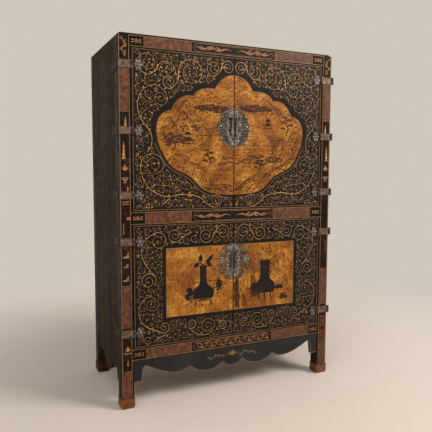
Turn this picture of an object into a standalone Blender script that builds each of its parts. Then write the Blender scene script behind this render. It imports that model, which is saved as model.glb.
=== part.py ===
"""Two-tier lacquer cabinet, in metres, +Z up, front towards -Y, standing on z = 0.

Frame of four posts and rails, floating panels, four hinged doors, ten strap
hinges, four half-round lock plates and four pendant pulls.
"""

import math

import bmesh
import bpy
from mathutils import Matrix, Vector

# Case
CASE_W = 1.240
CASE_D = 0.610
CASE_H = 1.860
POST = 0.064
POST_CHAMFER = 0.002
FIT = 0.0003
OVERLAP = 0.002
SHARP_EDGE_DEGREES = 35

# Heights of the front, from the floor up
LEG_H = 0.246
BOTTOM_RAIL_H = 0.058
LOWER_OPENING_H = 0.630
MIDDLE_RAIL_H = 0.064
TOP_RAIL_H = 0.055
TOP_T = 0.010

# Joinery
FRONT_RAIL_D = 0.045
RAIL_T = 0.030
TENON_L = 0.022
TENON_T = 0.014
TENON_SHOULDER = 0.010
FRONT_TENON_SETBACK = 0.014
RAIL_TENON_SETBACK = 0.008
TONGUE_L = 0.008
TONGUE_T = 0.006
TONGUE_SETBACK = 0.003
HOUSING = 0.005
STOP_LIP = 0.008
STOP_CLEARANCE = 0.0008

# Boards and panels
TOP_INSET = 0.010
TOP_CHAMFER = 0.003
PANEL_T = 0.014
PANEL_RECESS = 0.0008
BACK_T = 0.012
BACK_RECESS = 0.008
BOARD_T = 0.016
BOARD_RISE = 0.024
SHELF_CLEAR = 0.412

# Foot shoes
SHOE_H = 0.055
SHOE_WALL = 0.0033
SHOE_FLOOR = 0.012
SHOE_ROUND_H = 0.016
SHOE_ROUND_IN = 0.009

# Aprons
APRON_T = 0.018
APRON_SETBACK = 0.004
FRONT_APRON_H = 0.116
FRONT_BRACKET_W = 0.042
SIDE_APRON_H = 0.128
SIDE_BRACKET_W = 0.035

# Doors
DOOR_T = 0.024
DOOR_GAP = 0.002
SEAM = 0.002

# Hinges
HINGE_FROM_END = 0.083
KNUCKLE_R = 0.005
PIN_R = 0.0019
PIN_CLEARANCE = 0.0005
AXIS_INSET = 0.003
STRAP_H = 0.038
STRAP_T = 0.002
LEAF_KNUCKLE_H = 0.0132
KNUCKLE_GAP = 0.0004
ROLL_R = 0.006
ROLL_OFFSET_X = 0.005
ROLL_OFFSET_Y = 0.004
ROLL_PROUD = 0.001
FLOWER_W = 0.050
FLOWER_H = 0.064
FLOWER_GAP = 0.001
FLOWER_PROUD = 0.0002
FLOWER_HOLE_R = 0.005
FLOWER_LOBES = 6
FLOWER_SWELL = 0.13

# Lock plates and pulls
PLATE_R = 0.098
PLATE_T = 0.0025
PLATE_SCALLOP = 0.0044
PLATE_HOLE_R = 0.008
PLATE_HOLES_AT = 0.0725
PLATE_HOLE_TURNS = (105, 135, 180, 225, 255)
PLATE_SCALLOPS = 16
UPPER_PLATE_RISE = 0.0305
LOWER_PLATE_RISE = 0.097
PULL_X = 0.0125
PULL_ABOVE_CENTRE = 0.050
PULL_LENGTH = 0.092
PULL_W = 0.0164
PULL_T = 0.003
PULL_RING_R = 0.005
PULL_RING_BORE = 0.0026
PULL_RING_W = 0.006
PULL_CLEARANCE = 0.0008
STAPLE_BAR_R = 0.0017
STAPLE_WALL = 0.0006
STAPLE_POST_W = 0.0025
STAPLE_SIDE_GAP = 0.0006

# Derived heights
LOWER_SILL = LEG_H + BOTTOM_RAIL_H
LOWER_HEAD = LOWER_SILL + LOWER_OPENING_H
UPPER_SILL = LOWER_HEAD + MIDDLE_RAIL_H
FRAME_TOP = CASE_H - TOP_T
UPPER_HEAD = FRAME_TOP - TOP_RAIL_H
BOTTOM_BOARD_Z = LEG_H + BOARD_RISE
MIDDLE_BOARD_Z = LOWER_HEAD + BOARD_RISE
SHELF_Z = MIDDLE_BOARD_Z + BOARD_T + SHELF_CLEAR

# Derived places across and along the case
HALF_W = CASE_W / 2
OPENING = HALF_W - POST
PULL_AXIS_OUT = FIT + PLATE_T + PULL_CLEARANCE + PULL_RING_R
HARDWARE_PROUD = PULL_AXIS_OUT + PULL_RING_R
FRONT = (HARDWARE_PROUD - SHOE_WALL - CASE_D) / 2
BACK = FRONT + CASE_D
DOOR_EDGE = OPENING - DOOR_GAP
HINGE_X = DOOR_EDGE - AXIS_INSET
HINGE_Y = FRONT - FIT - KNUCKLE_R
PULL_AXIS_Y = FRONT - PULL_AXIS_OUT
PANEL_OUT = HALF_W - PANEL_RECESS
PANEL_IN = PANEL_OUT - PANEL_T
BACK_PANEL_Y = BACK - BACK_RECESS - BACK_T

SIDES = (("left", -1), ("right", 1))
ENDS = (("front", FRONT + POST / 2), ("rear", BACK - POST / 2))

# Half edge of an apron, from the middle out: the middle's fall below the rail,
# then for each curve a control point and an end. Shares of the half arch across,
# shares of the apron's height down.
FRONT_APRON_MIDDLE = 0.95
FRONT_APRON_CURVES = (
    ((0.076, 0.95), (0.112, 0.70)),
    ((0.300, 1.34), (0.493, 0.67)),
    ((0.625, 1.16), (0.945, 0.35)),
    ((0.982, 0.31), (0.988, 0.47)),
    ((0.994, 0.72), (1.000, 1.00)),
)
SIDE_APRON_MIDDLE = 1.00
SIDE_APRON_CURVES = (
    ((0.330, 1.00), (0.520, 0.50)),
    ((0.700, 0.63), (0.914, 0.52)),
    ((0.960, 0.50), (0.972, 0.66)),
    ((0.985, 0.82), (1.000, 0.92)),
)

# Half outline of a pull's tongue below its eye: share of the width, share of the length
PULL_TONGUE = (
    (0.17, 0.04), (0.17, 0.11), (0.30, 0.15), (0.27, 0.26),
    (0.35, 0.50), (0.47, 0.72), (0.50, 0.85), (0.35, 0.95),
)


def clear_scene():
    for obj in list(bpy.data.objects):
        bpy.data.objects.remove(obj, do_unlink=True)


def principled(name, colour, roughness, metallic):
    mat = bpy.data.materials.new(name)
    mat.use_nodes = True
    shader = mat.node_tree.nodes["Principled BSDF"]
    shader.inputs["Base Color"].default_value = (*colour, 1.0)
    shader.inputs["Roughness"].default_value = roughness
    shader.inputs["Metallic"].default_value = metallic
    return mat


def make_object(name, bm):
    bmesh.ops.recalc_face_normals(bm, faces=bm.faces)
    mesh = bpy.data.meshes.new(name)
    bm.to_mesh(mesh)
    bm.free()
    obj = bpy.data.objects.new(name, mesh)
    bpy.context.scene.collection.objects.link(obj)
    return obj


def loft(name, rings):
    """Closed solid through rings of equally many points."""
    bm = bmesh.new()
    rows = [[bm.verts.new(point) for point in ring] for ring in rings]
    count = len(rows[0])
    for low, high in zip(rows, rows[1:]):
        for i in range(count):
            j = (i + 1) % count
            bm.faces.new((low[i], low[j], high[j], high[i]))
    bm.faces.new(rows[0][::-1])
    bm.faces.new(rows[-1])
    return make_object(name, bm)


def prism(name, outline, low, high, axis):
    """Outline pushed along an axis: (x, y) along Z, (x, z) along Y, (y, z) along X."""
    place = {
        "Z": lambda u, v, w: (u, v, w),
        "Y": lambda u, v, w: (u, w, v),
        "X": lambda u, v, w: (w, u, v),
    }[axis]
    return loft(name, [[place(u, v, w) for u, v in outline] for w in (low, high)])


def box(name, x, y, z):
    outline = ((x[0], y[0]), (x[1], y[0]), (x[1], y[1]), (x[0], y[1]))
    return prism(name, outline, z[0], z[1], "Z")


def circle(u, v, radius, count, turn=0.0):
    angles = [turn + math.tau * i / count for i in range(count)]
    return [(u + radius * math.cos(a), v + radius * math.sin(a)) for a in angles]


def curve_points(start, control, end, steps):
    """Points after the start of a quadratic curve, up to its end."""
    points = []
    for i in range(1, steps + 1):
        t = i / steps
        a, b, c = (1 - t) ** 2, 2 * t * (1 - t), t ** 2
        points.append(tuple(a * p + b * q + c * r for p, q, r in zip(start, control, end)))
    return points


def boolean(base, other, operation):
    """Join or cut, then drop the second operand."""
    modifier = base.modifiers.new(operation, "BOOLEAN")
    modifier.operation = operation
    modifier.solver = "EXACT"
    modifier.object = other
    graph = bpy.context.evaluated_depsgraph_get()
    result = bpy.data.meshes.new_from_object(base.evaluated_get(graph))
    base.modifiers.clear()
    base.data = result
    bpy.data.objects.remove(other, do_unlink=True)
    return base


def join(base, *others):
    for other in others:
        boolean(base, other, "UNION")
    return base


def cut(base, *others):
    for other in others:
        boolean(base, other, "DIFFERENCE")
    return base


def house(host, x, y, z):
    """Socket in the host for a piece that fills these ranges, with the fit around it."""
    grown = [(low - FIT, high + FIT) for low, high in (x, y, z)]
    return cut(host, box("socket", *grown))


def placed_copy(template, name, offset, mirrored):
    """Copy of a left-hand template, moved, or mirrored to the right-hand side."""
    bm = bmesh.new()
    bm.from_mesh(template.data)
    bmesh.ops.translate(bm, verts=bm.verts, vec=offset)
    if mirrored:
        bmesh.ops.transform(bm, matrix=Matrix.Diagonal((-1, 1, 1, 1)), verts=bm.verts)
    copy = make_object(name, bm)
    copy.data.shade_smooth()
    copy.data.set_sharp_from_angle(angle=math.radians(SHARP_EDGE_DEGREES))
    return copy


def axis_empty(name, at, parent=None):
    """Empty on a joint's axis, for the pieces that turn about it."""
    empty = bpy.data.objects.new(name, None)
    bpy.context.scene.collection.objects.link(empty)
    empty.parent = parent
    empty.location = Vector(at) - (parent.location if parent else Vector())
    return empty


def hang(obj, empty, at):
    """Put a piece built in place under an empty that stands at a point."""
    obj.data.transform(Matrix.Translation(-Vector(at)))
    obj.parent = empty


def paint(obj, mat):
    obj.data.materials.clear()
    obj.data.materials.append(mat)
    return obj


def sided(side, low, high):
    """A left-right range: side is -1 on the left and +1 on the right."""
    return tuple(sorted((side * low, side * high)))


def chamfered_square(centre_x, centre_y, half, chamfer):
    near = half - chamfer
    corners = (
        (half, -near), (half, near), (near, half), (-near, half),
        (-half, near), (-half, -near), (-near, -half), (near, -half),
    )
    return [(centre_x + u, centre_y + v) for u, v in corners]


def build_posts():
    posts = {}
    for end, y in ENDS:
        for side_name, side in SIDES:
            name = f"post_{end}_{side_name}"
            outline = chamfered_square(side * (HALF_W - POST / 2), y, POST / 2, POST_CHAMFER)
            posts[name] = prism(name, outline, SHOE_FLOOR + FIT, FRAME_TOP, "Z")
    return posts


def shoe_sections(steps=4):
    """Heights of the shoe's outside and how far each lies in, with a rounded sole edge."""
    sections = []
    for i in range(steps):
        z = SHOE_ROUND_H * i / steps
        rise = 1 - z / SHOE_ROUND_H
        sections.append((z, SHOE_ROUND_IN * (1 - math.sqrt(1 - rise ** 2))))
    return sections + [(SHOE_ROUND_H, 0.0), (SHOE_H, 0.0)]


def build_shoes():
    shoes = []
    half = POST / 2 + SHOE_WALL
    for end, y in ENDS:
        for side_name, side in SIDES:
            x = side * (HALF_W - POST / 2)
            rings = []
            for z, inset in shoe_sections():
                ring = chamfered_square(x, y, half - inset, POST_CHAMFER)
                rings.append([(u, v, z) for u, v in ring])
            shoe = loft(f"foot_shoe_{end}_{side_name}", rings)
            socket = chamfered_square(x, y, POST / 2 + FIT, POST_CHAMFER)
            shoes.append(cut(shoe, prism("socket", socket, SHOE_FLOOR, SHOE_H + OVERLAP, "Z")))
    return shoes


def rail_across(name, posts, y, z, tenon_y):
    """Rail along X with a stub tenon into a post at each end."""
    reach = OPENING - FIT
    rail = box(name, (-reach, reach), y, z)
    tenon_z = (z[0] + TENON_SHOULDER, z[1] - TENON_SHOULDER)
    for side, post in zip((-1, 1), posts):
        tenon_x = sided(side, reach - OVERLAP, reach + TENON_L)
        join(rail, box("tenon", tenon_x, tenon_y, tenon_z))
        house(post, tenon_x, tenon_y, tenon_z)
    return rail


def rail_along(name, posts, x, z, tenon_x):
    """Rail along Y between a front and a rear post, with stub tenons."""
    front, rear = FRONT + POST, BACK - POST
    rail = box(name, x, (front + FIT, rear - FIT), z)
    tenon_z = (z[0] + TENON_SHOULDER, z[1] - TENON_SHOULDER)
    ranges = (
        (front - TENON_L, front + OVERLAP),
        (rear - OVERLAP, rear + TENON_L),
    )
    for tenon_y, post in zip(ranges, posts):
        join(rail, box("tenon", tenon_x, tenon_y, tenon_z))
        house(post, tenon_x, tenon_y, tenon_z)
    return rail


def stop_lip(rail, edge, inward):
    """Strip behind the door edge that the closed door meets."""
    low, high = sorted((edge - inward * OVERLAP, edge + inward * STOP_LIP))
    y = (FRONT + DOOR_T + STOP_CLEARANCE, FRONT + FRONT_RAIL_D)
    reach = OPENING - FIT
    return join(rail, box("lip", (-reach, reach), y, (low, high)))


def build_rails(posts):
    front_posts = [posts["post_front_left"], posts["post_front_right"]]
    rear_posts = [posts["post_rear_left"], posts["post_rear_right"]]
    front_y = (FRONT, FRONT + FRONT_RAIL_D)
    front_tenon = (FRONT + FRONT_TENON_SETBACK, FRONT + FRONT_TENON_SETBACK + TENON_T)
    rear_y = (BACK - RAIL_T, BACK)
    rear_tenon = (BACK - RAIL_TENON_SETBACK - TENON_T, BACK - RAIL_TENON_SETBACK)
    side_tenon = (HALF_W - RAIL_TENON_SETBACK - TENON_T, HALF_W - RAIL_TENON_SETBACK)
    top, bottom = (UPPER_HEAD, FRAME_TOP), (LEG_H, LOWER_SILL)
    rails = {}
    for level, z in (("top", top), ("middle", (LOWER_HEAD, UPPER_SILL)), ("bottom", bottom)):
        name = f"rail_front_{level}"
        rails[name] = rail_across(name, front_posts, front_y, z, front_tenon)
    stop_lip(rails["rail_front_top"], UPPER_HEAD, -1)
    stop_lip(rails["rail_front_middle"], UPPER_SILL, 1)
    stop_lip(rails["rail_front_middle"], LOWER_HEAD, -1)
    stop_lip(rails["rail_front_bottom"], LOWER_SILL, 1)
    for level, z in (("top", top), ("bottom", bottom)):
        name = f"rail_rear_{level}"
        rails[name] = rail_across(name, rear_posts, rear_y, z, rear_tenon)
        for side_name, side in SIDES:
            name = f"rail_{side_name}_{level}"
            pair = [posts[f"post_front_{side_name}"], posts[f"post_rear_{side_name}"]]
            x = sided(side, HALF_W - RAIL_T, HALF_W)
            rails[name] = rail_along(name, pair, x, z, sided(side, *side_tenon))
    return rails


def build_side_panels(posts, rails):
    panels = {}
    y = (FRONT + POST + FIT, BACK - POST - FIT)
    z = (LOWER_SILL + FIT, UPPER_HEAD - FIT)
    tongue_y = (y[0] - TONGUE_L, y[1] + TONGUE_L)
    tongue_z = (z[0] - TONGUE_L, z[1] + TONGUE_L)
    tongue_in = PANEL_IN + TONGUE_SETBACK
    for side_name, side in SIDES:
        name = f"side_panel_{side_name}"
        tongue_x = sided(side, tongue_in, tongue_in + TONGUE_T)
        panel = box(name, sided(side, PANEL_IN, PANEL_OUT), y, z)
        panels[name] = join(panel, box("tongue", tongue_x, tongue_y, tongue_z))
        hosts = (
            posts[f"post_front_{side_name}"], posts[f"post_rear_{side_name}"],
            rails[f"rail_{side_name}_top"], rails[f"rail_{side_name}_bottom"],
        )
        for host in hosts:
            house(host, tongue_x, tongue_y, tongue_z)
    return panels


def build_back_panels(posts, rails):
    split = MIDDLE_BOARD_Z + BOARD_T / 2
    reach = OPENING - FIT
    y = (BACK_PANEL_Y, BACK_PANEL_Y + BACK_T)
    tongue_y = (y[0] + TONGUE_SETBACK, y[0] + TONGUE_SETBACK + TONGUE_T)
    tongue_x = (-reach - TONGUE_L, reach + TONGUE_L)
    levels = (
        ("lower", (LOWER_SILL + FIT, split - FIT), "bottom", (TONGUE_L, 0.0)),
        ("upper", (split + FIT, UPPER_HEAD - FIT), "top", (0.0, TONGUE_L)),
    )
    panels = {}
    for level, z, rail, extra in levels:
        name = f"back_panel_{level}"
        tongue_z = (z[0] - extra[0], z[1] + extra[1])
        panel = box(name, (-reach, reach), y, z)
        panels[name] = join(panel, box("tongue", tongue_x, tongue_y, tongue_z))
        house(rails[f"rail_rear_{rail}"], tongue_x, tongue_y, tongue_z)
    groove_z = (LOWER_SILL - TONGUE_L, UPPER_HEAD + TONGUE_L)
    for side_name, _ in SIDES:
        house(posts[f"post_rear_{side_name}"], tongue_x, tongue_y, groove_z)
    return panels


def notched_board(name, half_x, y, z, front_notch):
    """Board cut out round the rear posts, and round the front posts if it reaches them."""
    inner = OPENING - FIT
    rear = BACK - POST - FIT
    right = [(inner, y[1]), (inner, rear), (half_x, rear)]
    if front_notch:
        front = FRONT + POST + FIT
        right += [(half_x, front), (inner, front), (inner, y[0])]
    else:
        right += [(half_x, y[0])]
    left = [(-u, v) for u, v in reversed(right)]
    return prism(name, right + left, z[0], z[1], "Z")


def build_boards(panels, rails):
    rear = BACK_PANEL_Y - FIT
    housed_x = PANEL_IN + HOUSING
    behind_rail = FRONT + FRONT_RAIL_D + FIT
    behind_post = FRONT + POST + FIT
    middle_z = (MIDDLE_BOARD_Z, MIDDLE_BOARD_Z + BOARD_T)
    shelf_z = (SHELF_Z, SHELF_Z + BOARD_T)
    bottom_z = (BOTTOM_BOARD_Z, BOTTOM_BOARD_Z + BOARD_T)
    rail_in = HALF_W - RAIL_T
    rear_rail = BACK - RAIL_T - FIT
    boards = [
        notched_board("middle_board", housed_x, (behind_rail, rear), middle_z, True),
        notched_board("shelf_upper", housed_x, (behind_post, rear), shelf_z, False),
        notched_board("bottom_board", rail_in + HOUSING, (behind_rail, rear_rail), bottom_z, True),
    ]
    span_y = (behind_post, BACK - POST - FIT)
    for side_name, side in SIDES:
        panel = panels[f"side_panel_{side_name}"]
        groove = sided(side, PANEL_IN - OVERLAP, housed_x)
        house(panel, groove, span_y, middle_z)
        house(panel, groove, span_y, shelf_z)
        groove = sided(side, rail_in - OVERLAP, rail_in + HOUSING)
        house(rails[f"rail_{side_name}_bottom"], groove, span_y, bottom_z)
    return boards


def build_top():
    x = HALF_W - TOP_INSET
    y = (FRONT + TOP_INSET, BACK - TOP_INSET)
    levels = (
        (FRAME_TOP + FIT, 0.0), (CASE_H - TOP_CHAMFER, 0.0), (CASE_H, TOP_CHAMFER),
    )
    rings = []
    for z, inset in levels:
        low, high = y[0] + inset, y[1] - inset
        reach = x - inset
        rings.append([(-reach, low, z), (reach, low, z), (reach, high, z), (-reach, high, z)])
    return loft("top_board", rings)


def apron_outline(middle, curves, height, bracket_w, reach, steps=7):
    """Full outline of an apron, closed along the rail and the posts."""
    arch = reach - bracket_w
    edge = [(0.0, middle)]
    for control, end in curves:
        edge += curve_points(edge[-1], control, end, steps)
    points = [(across * arch, LEG_H - down * height) for across, down in edge]
    right = points[1:] + [(reach, points[-1][1]), (reach, LEG_H - FIT)]
    left = [(-u, v) for u, v in reversed(right)]
    return left + points[:1] + right


def build_aprons():
    front_y = FRONT + APRON_SETBACK
    outline = apron_outline(
        FRONT_APRON_MIDDLE, FRONT_APRON_CURVES, FRONT_APRON_H, FRONT_BRACKET_W, OPENING - FIT)
    aprons = [prism("apron_front", outline, front_y, front_y + APRON_T, "Y")]
    middle = (FRONT + BACK) / 2
    half_gap = CASE_D / 2 - POST - FIT
    outline = apron_outline(
        SIDE_APRON_MIDDLE, SIDE_APRON_CURVES, SIDE_APRON_H, SIDE_BRACKET_W, half_gap)
    outline = [(middle + u, v) for u, v in outline]
    outer = HALF_W - APRON_SETBACK
    for side_name, side in SIDES:
        x = sided(side, outer - APRON_T, outer)
        aprons.append(prism(f"apron_{side_name}", outline, x[0], x[1], "X"))
    return aprons


def flower_outline(u, v, width, height, points_per_lobe=3):
    """Lobed leaf outline that fills a width and a height around a centre."""
    shape = []
    count = FLOWER_LOBES * points_per_lobe
    for i in range(count):
        angle = math.tau * i / count
        swell = 1 + FLOWER_SWELL * math.cos(FLOWER_LOBES * angle)
        shape.append((swell * math.cos(angle), swell * math.sin(angle)))
    across = max(point[0] for point in shape)
    tall = max(point[1] for point in shape)
    return [(u + width / 2 * a / across, v + height / 2 * b / tall) for a, b in shape]


def pierced_flower(name, u, low, high, axis):
    flower = prism(name, flower_outline(u, 0.0, FLOWER_W, FLOWER_H), low, high, axis)
    for v in (-FLOWER_H / 4, FLOWER_H / 4):
        hole = circle(u, v, FLOWER_HOLE_R, 6)
        cut(flower, prism("hole", hole, low - OVERLAP, high + OVERLAP, axis))
    return flower


def strap_template():
    """Post leaf of a left-hand hinge around z = 0: strap, corner roll, side flower, pin."""
    half = STRAP_H / 2
    outer = -HALF_W
    y = (FRONT - FIT - STRAP_T, FRONT - FIT)
    x = (outer - FIT - STRAP_T, outer - FIT)
    inner_end = -HINGE_X - KNUCKLE_R - KNUCKLE_GAP
    strap = box("strap", (outer - ROLL_OFFSET_X, inner_end), y, (-half, half))
    roll = circle(outer - ROLL_OFFSET_X, FRONT - ROLL_OFFSET_Y, ROLL_R, 12, math.pi / 12)
    join(strap, prism("roll", roll, -half - ROLL_PROUD, half + ROLL_PROUD, "Z"))
    flower_y = FRONT + POST + FIT + FLOWER_W / 2
    side_y = (FRONT - ROLL_OFFSET_Y, flower_y - FLOWER_W / 2 + 2 * OVERLAP)
    join(strap, box("side", x, side_y, (-half, half)))
    join(strap, pierced_flower("flower", flower_y, x[0] - FLOWER_PROUD, x[1], "X"))
    shoulder = LEAF_KNUCKLE_H / 2 + KNUCKLE_GAP
    for low, high in ((-half, -shoulder), (shoulder, half)):
        ring = circle(-HINGE_X, HINGE_Y, KNUCKLE_R, 12)
        join(strap, box("tab", (inner_end - OVERLAP, -HINGE_X), y, (low, high)))
        join(strap, prism("knuckle", ring, low, high, "Z"))
    pin = circle(-HINGE_X, HINGE_Y, PIN_R, 12)
    return join(strap, prism("pin", pin, -half + OVERLAP, half - OVERLAP, "Z"))


def leaf_template():
    """Door leaf of a left-hand hinge around z = 0: knuckle, root and flower."""
    y = (FRONT - FIT - STRAP_T, FRONT - FIT)
    half = LEAF_KNUCKLE_H / 2
    ring = circle(-HINGE_X, HINGE_Y, KNUCKLE_R, 12)
    leaf = prism("leaf", ring, -half, half, "Z")
    flower_start = -HINGE_X + KNUCKLE_R + FLOWER_GAP
    join(leaf, box("root", (-HINGE_X, flower_start + 3 * OVERLAP), y, (-half, half)))
    flower_x = flower_start + FLOWER_W / 2
    join(leaf, pierced_flower("flower", flower_x, y[0] - FLOWER_PROUD, y[1], "Y"))
    bore = circle(-HINGE_X, HINGE_Y, PIN_R + PIN_CLEARANCE, 12)
    return cut(leaf, prism("bore", bore, -STRAP_H, STRAP_H, "Z"))


def half_plate_outline(count=2 * PLATE_SCALLOPS):
    """Left half of a scalloped disc around (0, 0), straight along the seam."""
    points = []
    for i in range(count + 1):
        angle = math.pi / 2 + math.pi * i / count
        swell = abs(math.cos(PLATE_SCALLOPS / 2 * angle))
        radius = PLATE_R - PLATE_SCALLOP * (1 - swell)
        u = min(radius * math.cos(angle), -SEAM / 2)
        points.append((u, radius * math.sin(angle)))
    return points


def plate_template():
    """Left half of a lock plate around z = 0, with the staple of its pull."""
    y = (FRONT - FIT - PLATE_T, FRONT - FIT)
    plate = prism("plate", half_plate_outline(), y[0], y[1], "Y")
    for turn in PLATE_HOLE_TURNS:
        angle = math.radians(turn)
        u, v = PLATE_HOLES_AT * math.cos(angle), PLATE_HOLES_AT * math.sin(angle)
        hole = circle(u, v, PLATE_HOLE_R, 8)
        cut(plate, prism("hole", hole, y[0] - OVERLAP, y[1] + OVERLAP, "Y"))
    v = PULL_ABOVE_CENTRE
    post_off = PULL_RING_W / 2 + STAPLE_SIDE_GAP + STAPLE_POST_W / 2
    post_half = STAPLE_BAR_R + STAPLE_WALL
    ends = (-PULL_X - post_off, -PULL_X + post_off)
    for u in ends:
        x = (u - STAPLE_POST_W / 2, u + STAPLE_POST_W / 2)
        post_y = (PULL_AXIS_Y - post_half, y[0] + PLATE_T / 2)
        join(plate, box("staple", x, post_y, (v - post_half, v + post_half)))
    bar = circle(PULL_AXIS_Y, v, STAPLE_BAR_R, 10)
    return join(plate, prism("bar", bar, ends[0], ends[1], "X"))


def pull_template():
    """Left pendant pull: eye around the staple bar and a hanging tongue."""
    v = PULL_ABOVE_CENTRE
    eye = circle(PULL_AXIS_Y, v, PULL_RING_R, 12)
    half_eye = PULL_RING_W / 2
    pull = prism("pull", eye, -PULL_X - half_eye, -PULL_X + half_eye, "X")
    half = [(across * PULL_W, v - down * PULL_LENGTH) for across, down in PULL_TONGUE]
    right = [(-PULL_X + u, w) for u, w in half]
    left = [(-PULL_X - u, w) for u, w in reversed(half)]
    outline = right + [(-PULL_X, v - PULL_LENGTH)] + left
    half_t = PULL_T / 2
    join(pull, prism("tongue", outline, PULL_AXIS_Y - half_t, PULL_AXIS_Y + half_t, "Y"))
    bore = circle(PULL_AXIS_Y, v, PULL_RING_BORE, 12)
    return cut(pull, prism("bore", bore, -2 * PULL_X, 0.0, "X"))


def hinge_heights(sill, head, middle_hinge):
    """Hinges a set distance from both ends of a door, and one in the middle if wanted."""
    high, low = head - HINGE_FROM_END, sill + HINGE_FROM_END
    return [high, (high + low) / 2, low] if middle_hinge else [high, low]


def build_doors(lacquer, metal):
    tiers = (
        ("upper", UPPER_SILL, UPPER_HEAD, UPPER_PLATE_RISE, True),
        ("lower", LOWER_SILL, LOWER_HEAD, LOWER_PLATE_RISE, False),
    )
    strap, leaf = strap_template(), leaf_template()
    plate, pull = plate_template(), pull_template()
    for tier, sill, head, plate_rise, middle_hinge in tiers:
        heights = hinge_heights(sill, head, middle_hinge)
        middle = (sill + head) / 2
        plate_z = middle + plate_rise
        for side_name, side in SIDES:
            where = f"{tier}_{side_name}"
            mirrored = side > 0
            axis_at = (side * HINGE_X, HINGE_Y, middle)
            axis = axis_empty(f"door_{where}_axis", axis_at)
            x = sided(side, SEAM / 2, DOOR_EDGE)
            z = (sill + DOOR_GAP, head - DOOR_GAP)
            door = box(f"door_{where}", x, (FRONT, FRONT + DOOR_T), z)
            hang(paint(door, lacquer), axis, axis_at)
            up = Vector((0, 0, plate_z))
            half_plate = placed_copy(plate, f"lock_plate_{where}", up, mirrored)
            hang(paint(half_plate, metal), axis, axis_at)
            pull_at = (side * PULL_X, PULL_AXIS_Y, plate_z + PULL_ABOVE_CENTRE)
            pull_axis = axis_empty(f"pull_{where}_axis", pull_at, axis)
            handle = placed_copy(pull, f"pull_{where}", up, mirrored)
            hang(paint(handle, metal), pull_axis, pull_at)
            for number, height in enumerate(heights, 1):
                up = Vector((0, 0, height))
                name = f"hinge_strap_{where}_{number}"
                paint(placed_copy(strap, name, up, mirrored), metal)
                name = f"hinge_leaf_{where}_{number}"
                piece = placed_copy(leaf, name, up, mirrored)
                hang(paint(piece, metal), axis, axis_at)
    for template in (strap, leaf, plate, pull):
        bpy.data.objects.remove(template, do_unlink=True)


def build():
    clear_scene()
    lacquer = principled("black_lacquer", (0.022, 0.020, 0.021), 0.32, 0.0)
    frame_lacquer = principled("frame_lacquer", (0.060, 0.028, 0.018), 0.38, 0.0)
    side_lacquer = principled("side_lacquer", (0.042, 0.033, 0.026), 0.42, 0.0)
    bare_wood = principled("bare_wood", (0.180, 0.105, 0.060), 0.70, 0.0)
    shoe_lacquer = principled("shoe_lacquer", (0.200, 0.080, 0.038), 0.50, 0.0)
    metal = principled("aged_paktong", (0.260, 0.230, 0.215), 0.42, 0.90)
    posts = build_posts()
    shoes = build_shoes()
    rails = build_rails(posts)
    side_panels = build_side_panels(posts, rails)
    back_panels = build_back_panels(posts, rails)
    boards = build_boards(side_panels, rails)
    painted = (
        (posts.values(), frame_lacquer), (rails.values(), frame_lacquer),
        (side_panels.values(), side_lacquer), (back_panels.values(), bare_wood),
        (boards, bare_wood), ([build_top()], lacquer),
        (build_aprons(), lacquer), (shoes, shoe_lacquer),
    )
    for pieces, mat in painted:
        for piece in pieces:
            paint(piece, mat)
    build_doors(lacquer, metal)


build()
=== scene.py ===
"""Looks of a two-tier lacquer cabinet: gilt scrollwork, gold panels, worn lacquer, aged metal.

Decoration is drawn in millimetres on the front of the case, (u, v) being left to right
and up from the floor, and h the height of a raised shape above its ground.
"""

import math

import bmesh
import bpy
import numpy as np
from mathutils import Matrix, Vector


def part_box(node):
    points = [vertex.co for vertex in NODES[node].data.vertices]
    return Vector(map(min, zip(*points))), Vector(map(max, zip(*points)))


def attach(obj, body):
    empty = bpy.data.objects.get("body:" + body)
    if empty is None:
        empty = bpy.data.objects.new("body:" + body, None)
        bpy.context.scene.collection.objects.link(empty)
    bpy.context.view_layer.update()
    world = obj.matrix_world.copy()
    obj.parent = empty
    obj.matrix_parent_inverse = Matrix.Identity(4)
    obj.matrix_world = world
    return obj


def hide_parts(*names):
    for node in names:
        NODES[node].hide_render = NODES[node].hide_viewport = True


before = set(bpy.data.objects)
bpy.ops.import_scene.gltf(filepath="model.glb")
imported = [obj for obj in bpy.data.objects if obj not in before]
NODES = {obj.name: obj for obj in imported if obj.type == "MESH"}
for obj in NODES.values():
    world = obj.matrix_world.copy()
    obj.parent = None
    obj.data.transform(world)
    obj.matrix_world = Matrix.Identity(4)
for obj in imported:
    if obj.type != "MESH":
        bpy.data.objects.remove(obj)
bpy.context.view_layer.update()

MM = 0.001
TAU = math.tau
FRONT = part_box("post_front_left")[0].y
HALF_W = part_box("post_front_right")[1].x / MM
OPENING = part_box("post_front_right")[0].x / MM
POST_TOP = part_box("post_front_left")[1].z / MM
APRON_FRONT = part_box("apron_front")[0].y
SIDES = (("left", -1), ("right", 1))
TIERS = ("upper", "lower")


def box_mm(node):
    low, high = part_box(node)
    return low / MM, high / MM


DOOR_V = {tier: [c.z for c in box_mm(f"door_{tier}_left")] for tier in TIERS}
DOOR_EDGE = -box_mm("door_upper_left")[0].x
DOOR_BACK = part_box("door_upper_left")[1].y
SEAM = -box_mm("door_upper_left")[1].x
APRON_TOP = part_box("apron_front")[1].z / MM
PLATE_V = {tier: sum(c.z for c in box_mm(f"lock_plate_{tier}_left")) / 2 for tier in TIERS}
DOOR_GAP = 2
RAILS = {
    "top": (DOOR_V["upper"][1] + DOOR_GAP, POST_TOP),
    "middle": (DOOR_V["lower"][1] + DOOR_GAP, DOOR_V["upper"][0] - DOOR_GAP),
    "bottom": (APRON_TOP, DOOR_V["lower"][0] - DOOR_GAP),
}

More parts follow.
